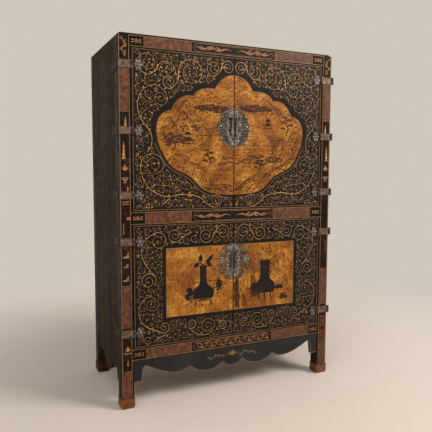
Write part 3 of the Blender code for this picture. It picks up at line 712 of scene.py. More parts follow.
def make_materials():
    """Every finish by its key: maker, name, colours, and what differs from the maker's defaults."""
    shoe = {"wear": 0.53, "specular": 0.1, "grain": 16.0}
    # Gilt that also takes painted shade lower down, mixed with wear, and a painted sheen towards the
    # right
    bright = {"spread": (0.36, 0.64), "fade": 0.4}
    flat = {"roughness": 0.5, "metal": 0.2}
    table = {
        "door": (lacquer, "black_lacquer_worn", (19, 17, 15), (31, 27, 23), (80, 54, 36),
                 {"specular": 0.12}),
        "apron": (lacquer, "apron_lacquer_worn", (31, 30, 30), (48, 46, 45), (80, 62, 48),
                  {"specular": 0.14}),
        "frame": (lacquer, "frame_lacquer_worn", (25, 20, 16), (43, 32, 25), (104, 60, 38),
                  {"wear": 0.56, "specular": 0.05}),
        "side": (lacquer, "side_lacquer_streaked", (32, 23, 15), (60, 45, 30), (80, 58, 40),
                 {"wear": 0.64, "streak": (2.4, 2.4, 0.16), "gloss": (0.5, 0.66), "specular": 0.04}),
        "shoe": (lacquer, "shoe_lacquer_rubbed", (98, 54, 27), (160, 98, 54), (50, 32, 22), shoe),
        # Darker copies of the shoe lacquer for the front-right and rear shoes: painted shade, deepest
        # at the rear
        "dull_shoe": (lacquer, "shoe_lacquer_dull", (80, 50, 33), (136, 92, 66), (46, 32, 24), shoe),
        "rear_shoe": (lacquer, "shoe_lacquer_dark", (48, 24, 13), (92, 50, 28), (34, 22, 16),
                      {**shoe, "specular": 0.08}),
        "gilt": (gilding, "gilt_lines", (194, 148, 82), (121, 83, 41), (66, 42, 24), bright),
        "curl": (gilding, "gilt_curls", (146, 104, 52), (84, 55, 25), (42, 30, 20), bright),
        "amber": (gilding, "amber_gilt", (178, 120, 70), (128, 80, 46), (66, 42, 28),
                  {**flat, "spread": (0.38, 0.62)}),
        "flame": (gilding, "flame_red_gilt", (170, 108, 66), (108, 66, 41), (56, 38, 28),
                  {"roughness": 0.55, "metal": 0.1, "spread": (0.4, 0.6)}),
        "line": (gilding, "border_gilt_worn", (178, 136, 88), (122, 86, 52), (48, 34, 24), {}),
        "arris": (gilding, "arris_gilt_worn", (142, 104, 78), (106, 74, 52), (56, 38, 28), flat),
        "figure": (gilding, "figure_gilt", (200, 150, 88), (150, 100, 52), (70, 46, 28), flat),
        "bead": (gilding, "brown_gilt_bead", (172, 142, 110), (128, 100, 74), (70, 52, 40), flat),
        "upper_ground": (gold_ground, "amber_gold_ground", 0.72, 0.5, {}),
        "lower_ground": (gold_ground, "amber_gold_ground_upright", 0.4, 0.8, {}),
        "ink": (paint, "brown_brushwork", (60, 33, 17), (112, 64, 27), {"share": 0.5}),
        "dark": (paint, "dark_brushwork", (22, 21, 22), (50, 36, 27), {"share": 0.3}),
        # Brown patch under the upper plates' openwork: dirt and painted shade
        "grime": (paint, "brown_grime", (62, 48, 40), (112, 78, 48), {"share": 0.8}),
        "red": (lacquer, "red_lacquer_worn", (66, 34, 22), (106, 58, 36), (38, 26, 21),
                {"wear": 0.52, "grain": 42.0}),
        # The trellis gilt also takes painted shade lower down, mixed with wear, and a painted sheen
        # towards the right
        "trellis": (gilding, "trellis_gilt", (158, 106, 66), (76, 43, 27), (40, 26, 20),
                    {"roughness": 0.5, "metal": 0.1, "spread": (0.45, 0.56), "fade": 0.3}),
        "silver": (aged_metal, "rubbed_white_brass", (214, 206, 196), (164, 156, 148), (92, 84, 80),
                   {"roughness": 0.3}),
        "metal": (aged_metal, "aged_white_brass", (142, 137, 127), (88, 84, 77), (43, 40, 38), {}),
        # The strap's side face is darkened as painted shade
        "strap": (aged_metal, "strap_brass_dull", (142, 115, 100), (106, 85, 74), (48, 39, 34),
                  {"roughness": 0.46, "flank": 0.92}),
        "leaf": (aged_metal, "hinge_leaf_patina", (104, 89, 79), (68, 57, 50), (30, 25, 22),
                 {"roughness": 0.5}),
        "petal": (aged_metal, "hinge_petal_rubbed", (168, 156, 146), (106, 95, 88), (44, 38, 35),
                  {"roughness": 0.4}),
        "lower_plate": (aged_metal, "aged_white_brass_bright", (172, 158, 142), (108, 97, 87),
                        (44, 40, 37), {}),
        "wood": (stained_wood, "stained_wood_along", (0.35, 5.0, 5.0), (96, 58, 34), (142, 92, 56),
                 {}),
        "panel": (stained_wood, "stained_wood_upright", (5.0, 5.0, 0.3), (78, 50, 32), (118, 78, 50),
                  {}),
    }
    return {key: maker(*given, **options) for key, (maker, *given, options) in table.items()}


def soften(node, width_mm):
    """Weld the imported facets and round the arrises of a wooden or metal piece."""
    obj = NODES[node]
    weld = obj.modifiers.new("weld", "WELD")
    weld.merge_threshold = 1e-5
    bevel = obj.modifiers.new("arris", "BEVEL")
    bevel.width = width_mm * MM
    bevel.segments = 2
    bevel.limit_method = "ANGLE"
    bevel.angle_limit = math.radians(40)


def dress_nodes(mats):
    """Give each carried-over piece its finish."""
    finishes = (
        ("door_", "door", 1.0), ("top_board", "door", 0.8), ("apron_front", "apron", 0.8),
        ("apron_left", "side", 0.8), ("apron_right", "side", 0.8),
        ("post_", "frame", 0.7), ("rail_front", "frame", 0.6), ("rail_rear", "side", 0.8),
        ("rail_left", "side", 0.8), ("rail_right", "side", 0.8), ("side_panel", "side", 0.5),
        ("back_panel", "panel", 0.8), ("middle_board", "wood", 0.8), ("shelf_upper", "wood", 0.8),
        ("bottom_board", "wood", 0.8), ("foot_shoe_front_left", "shoe", 1.2),
        # The front-right and rear shoes take darker copies of the shoe lacquer, as painted shade
        ("foot_shoe_front_right", "dull_shoe", 1.2), ("foot_shoe_rear", "rear_shoe", 1.2),
        ("hinge_strap", "strap", 0.25), ("hinge_leaf", "leaf", 0.25), ("lock_plate", "metal", 0.2),
        ("pull_", "metal", 0.6),
    )
    for name, obj in NODES.items():
        for prefix, finish, width in finishes:
            if name.startswith(prefix):
                obj.data.materials.clear()
                obj.data.materials.append(mats[finish])
                soften(name, width)


class Scrollwork:
    """Vines of one door: main volutes, then curls and leaves in every gap they leave."""

    def __init__(self, room, points, gap=FILL_GAP, seed=3):
        self.points = points
        self.room = room
        self.gap = gap
        self.rng = np.random.default_rng(seed)
        self.stems = []
        self.eyes = []
        self.leaves = []
        self.blooms = []
        self.drawn = np.zeros((0, 2))

    def block(self, path, half_width):
        near = to_path(self.points, path) - half_width - self.gap
        self.room = np.minimum(self.room, near)

    def stroke(self, path, width, taper):
        self.stems.append((path, width, taper))
        self.drawn = np.vstack([self.drawn, path])
        self.block(path, width / 2)

    def vine(self, points, eye, turns, spin, width=STEM_W):
        path = smooth(points)
        if eye:
            path = np.vstack([path, spiral(eye, points[-1], turns, spin)[1:]])
            self.eyes.append((*path[-1], width * 0.8))
        self.stroke(path, width, fade_out if eye else fade_both)
        self.leaf_along(path, width)

    def leaf_along(self, path, width):
        """Leaves on alternate sides of a stem, where there is room for them."""
        steps = np.linalg.norm(np.diff(path, axis=0), axis=1)
        travelled, side = LEAF_SPACING / 2, 1
        for (here, ahead), step in zip(zip(path, path[1:]), steps):
            travelled += step
            if travelled < LEAF_SPACING:
                continue
            angle = heading(ahead - here) + side * LEAF_TURN
            tip = here + polar(angle, LEAF[0] + width / 2)
            if self.room[int(np.argmin(((self.points - tip) ** 2).sum(1)))] > 1.0:
                base = here + polar(angle, width * 0.4)
                self.leaves.append(leaf_outline(base, angle, *LEAF))
                self.block(np.linspace(base, tip, 4), LEAF[1] / 2)
                travelled, side = 0.0, -side

    def fill(self, radii=FILL_R, width=CURL_W):
        """The widest gap left takes the next curl, leaf or bloom."""
        number = 0
        while True:
            index = int(np.argmax(self.room))
            radius = min(self.room[index], radii[1])
            if radius < radii[0]:
                return
            number += 1
            centre = self.points[index]
            reach = self.drawn - centre
            contact = self.drawn[int(np.argmin((reach ** 2).sum(1)))]
            self.ornament(centre, radius, heading(contact - centre), number, width)

    def ornament(self, centre, radius, angle, number, width):
        """Leafy curl, blossom, or sprig that fills a round gap beside a stem."""
        out = polar(angle)
        start = centre + radius * out
        spin = 1 if self.rng.uniform() < 0.5 else -1
        kind = number % 4
        if radius > 12.0 or (radius > 8.5 and kind in (0, 2)):
            turns = self.rng.uniform(1.0, 1.25) + (0.25 if radius > 16 else 0.0)
            path = spiral(centre - 0.1 * radius * out, start, turns, spin, 0.3, 0.9, 14)
            self.eyes.append((*path[-1], width * 0.85))
            self.stroke(path, width * (0.95 + 0.02 * radius), fade_out)
            for share in (0.12, 0.34, 0.56):
                index = int(share * len(path))
                ahead = path[index + 1] - path[index]
                turn = heading(ahead) - spin * self.rng.uniform(0.5, 0.9)
                length = radius * self.rng.uniform(0.45, 0.7)
                self.leaves.append(leaf_outline(path[index], turn, length, radius * 0.3))
            self.block(ellipse(*centre, radius * 0.5, radius * 0.5, 10), radius * 0.3)
        elif radius > 8.0:
            self.blooms.append((centre, radius * 1.05, angle, kind == 1))
            self.block(ellipse(*centre, radius * 0.7, radius * 0.7, 10), radius * 0.3)
        elif kind < 2:
            self.stroke(spiral(centre, start, 0.75, spin, 0.5, 0.8, 14), width * 1.2, fade_both)
            self.block(centre[None], radius * 0.6)
        else:
            for turn in (-0.8, 0.0, 0.8):
                leaf = leaf_outline(start, angle + math.pi + turn, radius * 1.7, radius * 0.62)
                self.leaves.append(leaf)
            self.block(centre[None], radius * 0.9)

    def draw(self, stems, curls, accents, stem_h=STEM_H, curl_h=CURL_H, base=SUNK, crest=CREST):
        for number, (path, width, taper) in enumerate(self.stems):
            main = width > CURL_W * 1.4
            height = (stem_h if main else curl_h) + LAYER_H * (number % 6)
            (stems if main else curls).ribbon(path, width, height, taper, base, crest)
        for u, v, radius in self.eyes:
            (stems if radius > 3.0 else curls).dome(u, v, radius, stem_h * 1.1, base, 7)
        for number, outline in enumerate(self.leaves):
            height = curl_h * 0.8 + LAYER_H * (number % 5)
            (stems if number % 3 else curls).patch(outline, height, base)
        for centre, radius, angle, warm in self.blooms:
            bloom(accents if warm else curls, *centre, radius, angle, height=curl_h, base=base)


def bloom(relief, u, v, radius, turn=0.0, petals=5, height=CURL_H, base=SUNK):
    """Small open flower of pointed petals round a boss."""
    for i in range(petals):
        angle = turn + TAU * i / petals
        foot = (u, v) + polar(angle, 0.26 * radius)
        petal = leaf_outline(foot, angle, radius * 0.76, radius * 0.5, 4)
        relief.patch(petal, height + LAYER_H * i, base)
    relief.dome(u, v, radius * 0.18, height * 1.5, base, 7)


def candidates(low, high, step=FILL_STEP):
    us = np.arange(low[0], high[0], step)
    vs = np.arange(low[1], high[1], step)
    return np.array([(u, v) for v in vs for u in us])


def edge_room(points, low, high):
    """Distance inside a rectangle's edges."""
    return np.minimum((points - low).min(1), (high - points).min(1))


def lobed_outline():
    """Half outline of the upper gold ground, on the left, from its top down."""
    points = [np.array(LOBES_TOP, float)]
    for control, end in LOBES:
        a, b, c = points[-1], np.array(control, float), np.array(end, float)
        for t in np.arange(1, LOBE_STEPS + 1) / LOBE_STEPS:
            points.append(a * (1 - t) ** 2 + b * 2 * t * (1 - t) + c * t ** 2)
    return np.array(points) * (-1, 1)


def hinge_places(tier):
    """Centres of a tier's left-hand hinge leaves."""
    for name in NODES:
        if name.startswith(f"hinge_leaf_{tier}_left"):
            low, high = box_mm(name)
            yield ((high.x + low.x) / 2, (high.z + low.z) / 2,
                   (high.x - low.x) / 2, (high.z - low.z) / 2)


def plan_scrolls(tier):
    """Work out the scrollwork of a tier's left door."""
    low_v, high_v = DOOR_V[tier]
    low, high = np.array((-DOOR_EDGE + 15, low_v + 12)), np.array((-SEAM - 3, high_v - 12))
    points = candidates(low, high)
    room = edge_room(points, low, high)
    if tier == "upper":
        outline = lobed_outline()
        closed = np.vstack([outline, [(400, outline[-1][1]), (400, outline[0][1])]])
        margin = np.where(points[:, 1] > LOBES_MIDDLE[1], GROUND_MARGIN, LOWER_EDGE_MARGIN)
        room = np.minimum(room, to_path(points, outline) - margin)
        room[inside(points, closed)] = -1
    else:
        u, v = points.T
        past = np.maximum.reduce([-PANEL_U - u, PANEL_V[0] - v, v - PANEL_V[1]])
        room = np.minimum(room, past - GROUND_MARGIN + 6)
    scrolls = Scrollwork(room, points, FILL_GAP if tier == "upper" else FILL_GAP + 1.2)
    for u, v, half_u, half_v in hinge_places(tier):
        scrolls.block(ellipse(u, v, half_u * 0.5, half_v * 0.5, 16), half_v * 0.5)
        scrolls.block(np.array([(u, v)]), half_u)
    for vine in UPPER_VINES if tier == "upper" else LOWER_VINES:
        scrolls.vine(*vine)
    scrolls.fill()
    return scrolls


def rectangle(relief, low, high, width, height, closed=True):
    """Thin line round a rectangle, or round three sides of it up to the seam."""
    (u0, v0), (u1, v1) = low, high
    sides = (((u0, v0), (u1, v0)), ((u0, v1), (u1, v1)), ((u0, v0), (u0, v1)), ((u1, v0), (u1, v1)))
    for number, path in enumerate(sides if closed else sides[:3]):
        relief.ribbon(path, width, height + LAYER_H * number)


def gold_layers(relief, outline, centre, shares):
    """Gold ground as nested outlines, with how far each is feathered into the lacquer."""
    rows = []
    for layer, share in enumerate(shares):
        loop = (outline - centre) * share + centre
        loop[:, 0] = np.minimum(loop[:, 0], -SEAM)
        rows.append(relief.level(loop, GROUND_H if layer else SUNK))
    relief.tube(np.stack(rows))
    return np.repeat(FEATHER, len(outline))


def ground_plan(tier):
    """Outline of a tier's gold ground on the left door, its centre, and the shares of its layers."""
    if tier == "upper":
        return np.minimum(lobed_outline(), (-SEAM, np.inf)), LOBES_MIDDLE, (1.0, 1.0, 0.983, 0.955)
    low, high = PANEL_V
    corners = np.array(((-PANEL_U, low), (-SEAM, low), (-SEAM, high), (-PANEL_U, high)), float)
    return corners, (-SEAM, (low + high) / 2), (1.0, 1.0, 0.993, 0.98)


def decorate_doors(mats):
    """Gilt borders, scrollwork and gold grounds of the four doors."""
    for tier in TIERS:
        low_v, high_v = DOOR_V[tier]
        scrolls = plan_scrolls(tier)
        outline, centre, shares = ground_plan(tier)
        for side_name, side in SIDES:
            body = f"door_{tier}_{side_name}"
            gilt, border, curls, accents, ground = (Relief(front_ground(-side)) for _ in range(5))
            low = (-DOOR_EDGE + BORDER_INSET, low_v + BORDER_INSET)
            rectangle(border, low, (-SEAM - 0.5, high_v - BORDER_INSET), BORDER_W, LINE_H, False)
            scrolls.draw(gilt, curls, accents)
            feather = gold_layers(ground, outline, centre, shares)
            if tier == "upper":
                lower = lobed_outline()[len(outline) // 2:-2]
                border.ribbon((lower - centre) * (1.028, 1.035) + centre, 2.2, LINE_H)
            else:
                rectangle(gilt, outline[0], outline[2], 2.4, LINE_H, False)
            reliefs = (gilt, border, curls, accents, ground)
            pieces = (("gilding", "gilt"), ("border", "line"), ("curls", "curl"),
                      ("blooms", "amber"), ("gold_ground", f"{tier}_ground"))
            for relief, (piece, finish) in zip(reliefs, pieces):
                made = relief.build(f"{body}_{piece}", body, mats[finish], "black_lacquer")
            made.data.attributes.new("feather", "FLOAT", "POINT").data.foreach_set("value", feather)


def trellis(ground, lines, low, high):
    """Red panel covered with a diagonal gilt trellis and a bead in each cell."""
    (u0, v0), (u1, v1) = low, high
    ground.patch(((u0, v0), (u1, v0), (u1, v1), (u0, v1)), GROUND_H)
    rectangle(lines, low, high, 1.8, LINE_H)
    for slope in (1, -1):
        offsets = np.arange(u0 - (v1 - v0), u1 + (v1 - v0), TRELLIS_PITCH)
        for start in offsets:
            v = np.linspace(v0, v1, 40)
            u = start + (v - v0 if slope > 0 else v1 - v)
            keep = (u > u0) & (u < u1)
            if keep.sum() > 3:
                ends = np.flatnonzero(keep)[[0, -1]]
                lines.ribbon(np.column_stack([u[ends], v[ends]]), 2.2, LINE_H + LAYER_H * slope)
    for i, v in enumerate(np.arange(v0 + 6, v1 - 3, TRELLIS_PITCH / 2)):
        for u in np.arange(u0 + 6 + (i % 2) * TRELLIS_PITCH / 2, u1 - 4, TRELLIS_PITCH):
            lines.dome(u, v, 2.0, LINE_H, sides=5)


def profile_outline(u, base, profile, scale=1.0):
    """Closed outline of a figure, given whole or as the half that is the same on both sides."""
    half = np.array(profile, float) * scale
    if half[:, 0].min() < 0:
        return half + (u, base)
    right = smooth(half, 3)
    right = np.column_stack([u + right[:, 0], base + right[:, 1]])
    return np.vstack([right, (right * (-1, 1) + (2 * u, 0))[::-1]])


def flame_cloud(relief, u, v, length, side):
    """Waving cloud ribbon, thick in the middle, with a curl and licking tongues."""
    along = np.linspace(-1, 1, 40)
    wave = v + CLOUD_RISE * np.sin(along * 7.2 * side + 0.6) * (1 - 0.35 * along ** 2)
    path = np.column_stack([u + along * length / 2, wave])
    relief.ribbon(path, CLOUD_W, LINE_H, fade_both, PAINT_BASE, BRUSH_CREST)
    for index, turn in ((10, 0.45), (19, -0.4), (28, 0.45)):
        angle = turn if side > 0 else math.pi - turn
        relief.patch(leaf_outline(path[index], angle, 30 + 6 * (index % 3), 9), LINE_H + LAYER_H)
    at = path[20]
    curl = spiral(at + (side * 8, 5), at, 1.0, side, 0.3)
    relief.ribbon(curl, 5.0, LINE_H + 2 * LAYER_H, fade_out, PAINT_BASE, BRUSH_CREST)


def decorate_rails(mats):
    """Red panels, cloud cartouches and corner blocks of the three front rails."""
    dim, amber, flame, red, lines, black = (Relief(front_ground()) for _ in range(6))
    for level, (low, high) in RAILS.items():
        middle = (low + high) / 2
        # Gilt lines near both edges of each rail; along the top rail's upper edge the line also stands
        # in for a painted highlight of that edge
        for v in (low + 2.5, high - 2.5):
            dim.ribbon(((-OPENING - 8, v), (OPENING + 8, v)), EDGE_LINE_W, LINE_H)
        for side in (-1, 1):
            near, far = (side * u for u in RED_PANEL_U)
            trellis(red, lines, (min(near, far), low + 6), (max(near, far), high - 6))
            for u in RED_PANEL_U:
                dim.ribbon(((side * u, low + 5), (side * u, high - 5)), 2.2, LINE_H + LAYER_H)
            u = side * BLOCK_U
            bloom(amber if level == "top" else dim, u, middle, 12, 0.3, 6, LINE_H)
            for angle in (0.35, math.pi - 0.35, -0.35, math.pi + 0.35):
                foot = (u + 13 * math.cos(angle), middle + 9 * math.sin(angle))
                dim.patch(leaf_outline(foot, angle, 15, 6), LINE_H)
        half = (high - low) / 2 - 8
        ends = ((CARTOUCHE_U - 4, 0), (CARTOUCHE_U - 14, half * 0.75), (CARTOUCHE_U - 34, half))
        quarter = np.vstack([smooth(ends, 5), [(0, half)]])
        half_loop = np.vstack([quarter, quarter[::-1] * (-1, 1)])
        loop = np.vstack([half_loop, half_loop * (-1, -1)]) + (0, middle)
        black.patch(loop, GROUND_H)
        dim.ribbon(np.vstack([loop, loop[:1]]), 1.8, LINE_H)
        if level == "bottom":
            for i, u in enumerate(np.linspace(-CARTOUCHE_U + 36, CARTOUCHE_U - 36, 15)):
                spin = 1 if i % 2 else -1
                curl = spiral((u, middle), (u - 14, middle - spin * 9), 1.2, spin, 0.25)
                amber.ribbon(curl, 4.2, LINE_H, fade_out, PAINT_BASE, BRUSH_CREST)
                leaf = leaf_outline((u + 8, middle + spin * 7), spin * 0.4, 19, 10)
                amber.patch(leaf, LINE_H + LAYER_H)
        else:
            for side in (-1, 1):
                flame_cloud(flame, side * CLOUD_U, middle, CLOUD_L, side)
    pieces = (
        (dim, "gilt_lines", "line"), (amber, "amber_figures", "amber"),
        (flame, "flame_clouds", "flame"), (red, "red_panels", "red"), (lines, "trellis", "trellis"),
        (black, "black_cartouches", "door"),
    )
    for relief, piece, finish in pieces:
        relief.build(f"rail_{piece}", "case", mats[finish], "frame_lacquer")


def decorate_posts(mats):
    """Gilt lines, red panels and small figures of the front posts."""
    inner, outer = (-u for u in POST_LINES_U)
    keys = ("line", "arris", "figure", "amber", "red", "trellis")
    for side_name, side in SIDES:
        reliefs = {key: Relief(front_ground(-side)) for key in keys}
        for key, u, width in (("line", inner, EDGE_LINE_W), ("arris", outer, ARRIS_W)):
            reliefs[key].ribbon(((u, POST_LINES_FOOT), (u, POST_TOP - 2)), width, LINE_H)
        for low, high in RED_POST_PANELS:
            near, far = POST_PANEL_U
            trellis(reliefs["red"], reliefs["trellis"], (-far, low), (-near, high))
            for v in (low - 4, high + 4):
                reliefs["line"].ribbon(((outer, v), (inner, v)), 2.0, LINE_H + LAYER_H)
        for profile, aside, base, scale, tone, posts in POST_FIGURES:
            if side_name in posts:
                reliefs[tone].patch(profile_outline(-POST_U + aside, base, profile, scale), LINE_H)
        for (u0, u1), (v0, v1), tone, posts in POST_BLOCKS:
            if side_name in posts:
                reliefs[tone].patch(((u0, v0), (u1, v0 + 1), (u1 - 1, v1), (u0 + 1, v1 - 1)), LINE_H)
        sway = np.linspace(0, 1, 40)
        wave = np.column_stack([-POST_U + 10 * np.sin(sway * TAU * 2), POST_WAVE_V + sway * 100])
        reliefs["figure"].ribbon(wave, 4.0, LINE_H, fade_both)
        for i, at in enumerate(wave[5::5]):
            spin = 1 if i % 2 else -1
            curl = spiral(at + (spin * 7, 4), at, 1.0, spin, 0.2)
            reliefs["figure"].ribbon(curl, 2.6, LINE_H + LAYER_H, fade_out)
        for key, relief in reliefs.items():
            relief.build(f"post_{side_name}_{key}", "case", mats[key], "frame_lacquer")


def lower_edge(node, plane):
    """Points of an apron's shaped lower edge in its front plane, left to right."""
    mesh = NODES[node].data
    seen = {}
    for face in mesh.polygons:
        corners = [mesh.vertices[i].co for i in face.vertices]
        if all(abs(c.y - plane) < 1e-5 for c in corners):
            keys = [(round(c.x / MM, 2), round(c.z / MM, 2)) for c in corners]
            for pair in zip(keys, keys[1:] + keys[:1]):
                edge = tuple(sorted(pair))
                seen[edge] = seen.get(edge, 0) + 1
    links = {}
    for a, b in (edge for edge, count in seen.items() if count == 1):
        links.setdefault(a, []).append(b)
        links.setdefault(b, []).append(a)
    top = max(key[1] for key in links)
    start = min(key for key in links if key[1] == top)
    path = [start]
    here = min(links[start], key=lambda key: key[1])
    while here[1] < top:
        path.append(here)
        here = next(key for key in links[here] if key not in path[-2:])
    return np.array(path[1:])


def decorate_apron(mats):
    """Thin bead along the apron's edge, and a lotus with tendrils in its middle."""
    edge = lower_edge("apron_front", APRON_FRONT)
    path = smooth(edge, 3)
    ahead = np.gradient(path, axis=0)
    ahead /= np.linalg.norm(ahead, axis=1, keepdims=True) + 1e-9
    bead = Relief(front_ground(plane=APRON_FRONT))
    bead.ribbon(path + np.column_stack([-ahead[:, 1], ahead[:, 0]]) * 3.0, 2.4, 0.9)
    flower = Relief(front_ground(plane=APRON_FRONT))
    for side in (-1, 1):
        tendril = smooth([(side * u, v) for u, v in TENDRIL], 9)
        bead.ribbon(tendril, 2.6, LINE_H, fade_both)
        for i in range(8, len(tendril) - 3, 6):
            spin = side if i % 4 else -side
            curl = spiral(tendril[i] + (side * 6, spin * 6), tendril[i], 1.0, -spin, 0.2)
            bead.ribbon(curl, 2.0, LINE_H + LAYER_H, fade_out)
        for angle in (0.15, 0.75):
            turn = angle if side > 0 else math.pi - angle
            flower.patch(leaf_outline((side * 6, 202), turn, 22, 9), LINE_H)
    flower.patch(leaf_outline((0, 204), math.pi / 2, 24, 11), LINE_H)
    bloom(flower, 0, 205, 13, 0.4, 7, LINE_H * 1.3)
    bead.build("apron_edge_bead", "case", mats["bead"], "black_lacquer")
    flower.build("apron_lotus", "case", mats["amber"], "black_lacquer")


def runs(path, keep):
    """Stretches of a path whose points are kept."""
    found = []
    cuts = np.flatnonzero(np.diff(keep.astype(int))) + 1
    for part, kept in zip(np.split(path, cuts), np.split(keep, cuts)):
        if kept[0] and len(part) > 1:
            found.append(part)
    return found


class Painting:
    """Brushwork over a gold ground that spans a pair of doors."""

    def __init__(self, outline, seed):
        self.outline = outline
        self.rng = np.random.default_rng(seed)
        self.strokes = []
        self.blobs = []

    def stroke(self, points, width, tone="ink", per_span=6):
        self.strokes.append((smooth(points, per_span), width, tone))

    def blob(self, outline, tone="ink", rough=0.8):
        outline = np.asarray(outline, float)
        self.blobs.append((outline + self.rng.normal(0, rough, outline.shape), tone))

    def dashes(self, u, v, a, b, count, length, width=2.4, angle=0.0, tone="ink"):
        """Short wavering strokes scattered in an ellipse."""
        for _ in range(count):
            around, out = self.rng.uniform(0, TAU), math.sqrt(self.rng.uniform())
            centre = np.array((u + a * out * math.cos(around), v + b * out * math.sin(around)))
            reach = self.rng.uniform(*length) / 2
            turn = angle + self.rng.normal(0, 0.10)
            step = polar(turn, reach)
            bow = self.rng.normal(0, 0.12, 2) * reach
            path = (centre - step, centre + bow, centre + step)
            self.stroke(path, width * self.rng.uniform(0.6, 1.4), tone, 4)

    def ridge(self, points, fall, length, width=3.2):
        """Crest line with rows of strokes that fall away from it."""
        crest = smooth(points, 9)
        self.stroke(points, width * 0.8, per_span=9)
        for i in range(0, len(crest), 2):
            at, turn = crest[i] - (0, 3), fall + self.rng.normal(0, 0.16)
            way = polar(turn)
            for _ in range(5):
                reach = self.rng.uniform(*length)
                bend = at + way * reach * 0.5 + self.rng.normal(0, 1.6, 2)
                path = (at, bend, at + way * reach)
                self.stroke(path, width * self.rng.uniform(0.5, 1.0), per_span=4)
                at = at + way * (reach + self.rng.uniform(3, 8))

    def water(self, u, v, a, b, count):
        for _ in range(count):
            at = np.array((u + self.rng.uniform(-a, a), v + self.rng.uniform(-b, b)))
            steps = np.arange(5)
            wave = np.column_stack([steps * self.rng.uniform(6, 11), 1.6 * (-1.0) ** steps])
            self.stroke(at + wave, 1.7, per_span=4)

    def pine(self, u, v, rise):
        lean = rise * 0.16
        bends = ((0.0, 0.0), (1.0, 0.4), (-0.3, 0.75), (0.5, 1.0))
        self.stroke([(u + lean * x, v + rise * y) for x, y in bends], 4.5)
        for i, share in enumerate((0.42, 0.58, 0.72, 0.86, 1.0)):
            out = (1 if i % 2 else -1) * rise * (0.34 - 0.2 * share)
            pad = np.array((u + out + lean * 0.3, v + rise * share))
            self.stroke(((u + lean * 0.3, v + rise * (share - 0.1)), pad), 2.4)
            self.blob(ellipse(*pad, rise * 0.15, rise * 0.045, 14), "dark")
            self.dashes(*pad, rise * 0.17, rise * 0.06, 9, (6, 12), 1.8, 0.9)

    def pavilion(self, u, v, width):
        for level, share in ((0.0, 1.0), (0.42, 0.62)):
            base, half = v + width * level, width * share / 2
            self.blob([(u + x * half, base + y * width * 0.75) for x, y in ROOF], "dark")
            for x in (-0.7, -0.25, 0.25, 0.7):
                self.stroke(((u + x * half, base), (u + x * half, base + width * 0.21)), 2.4)
            self.stroke(((u - half * 1.1, base), (u + half * 1.1, base)), 3.0)

    def boat(self, u, v, length):
        self.blob([(u + x * length, v + y * length) for x, y in HULL], "dark")
        self.stroke(((u, v), (u + 2, v + length * 0.6)), 2.0)
        top = (u - length * 0.05, v + length * 0.22)
        self.stroke(((u - length * 0.2, v + 4), top, (u + length * 0.15, v + 4)), 2.4)

    def draw(self, reliefs, side):
        for number, (path, width, tone) in enumerate(self.strokes):
            keep = inside(path, self.outline) & (side * path[:, 0] > SEAM + 2.0)
            for run in runs(path, keep):
                height = PAINT_H + LAYER_H * (2 + number % 7) + FINE_LAYER_H * (number // 7 % 12)
                reliefs[tone].ribbon(run, width * BRUSH, height, fade_both, PAINT_BASE, BRUSH_CREST)
        for number, (outline, tone) in enumerate(self.blobs):
            middle = outline.mean(0)
            if side * middle[0] > 0 and inside(outline, self.outline).all():
                kept = outline.copy()
                kept[:, 0] = side * np.maximum(side * kept[:, 0], SEAM + 0.5)
                reliefs[tone].patch(kept, PAINT_H + LAYER_H * 0.4 * (number % 5))


def landscape():
    """Lake and hills for the upper doors, with a brown patch of dirt and painted shade behind the lock
    plates' openwork.
    """
    left = (lobed_outline() - LOBES_MIDDLE) * 0.975 + LOBES_MIDDLE
    scene = Painting(np.vstack([left, left[::-1] * (-1, 1)]), 5)
    for ridge in RIDGES:
        scene.ridge(*ridge)
    for draw, places in (
        (scene.pavilion, ((-262, 1338, 74), (206, 1432, 58))),
        (scene.pine, ((-346, 1292, 96), (-150, 1216, 92), (318, 1392, 104), (150, 1186, 84))),
        (scene.boat, ((-60, 1262, 54), (96, 1296, 46), (-128, 1628, 30))),
        (scene.water,
         ((-30, 1236, 110, 58, 44), (150, 1342, 120, 30, 26), (-210, 1406, 110, 26, 22))),
        (scene.dashes, LANDSCAPE_DASHES),
    ):
        for place in places:
            draw(*place)
    # Brown patch under each upper plate's openwork: dirt and painted shade
    for side in (-1, 1):
        half = ellipse(0, PLATE_V["upper"], *GRIME_AND_SHADE_REACH, 48)
        half[:, 0] = side * np.maximum(side * half[:, 0], SEAM + 1.0)
        scene.blob(half, "grime", 0.3)
    return scene


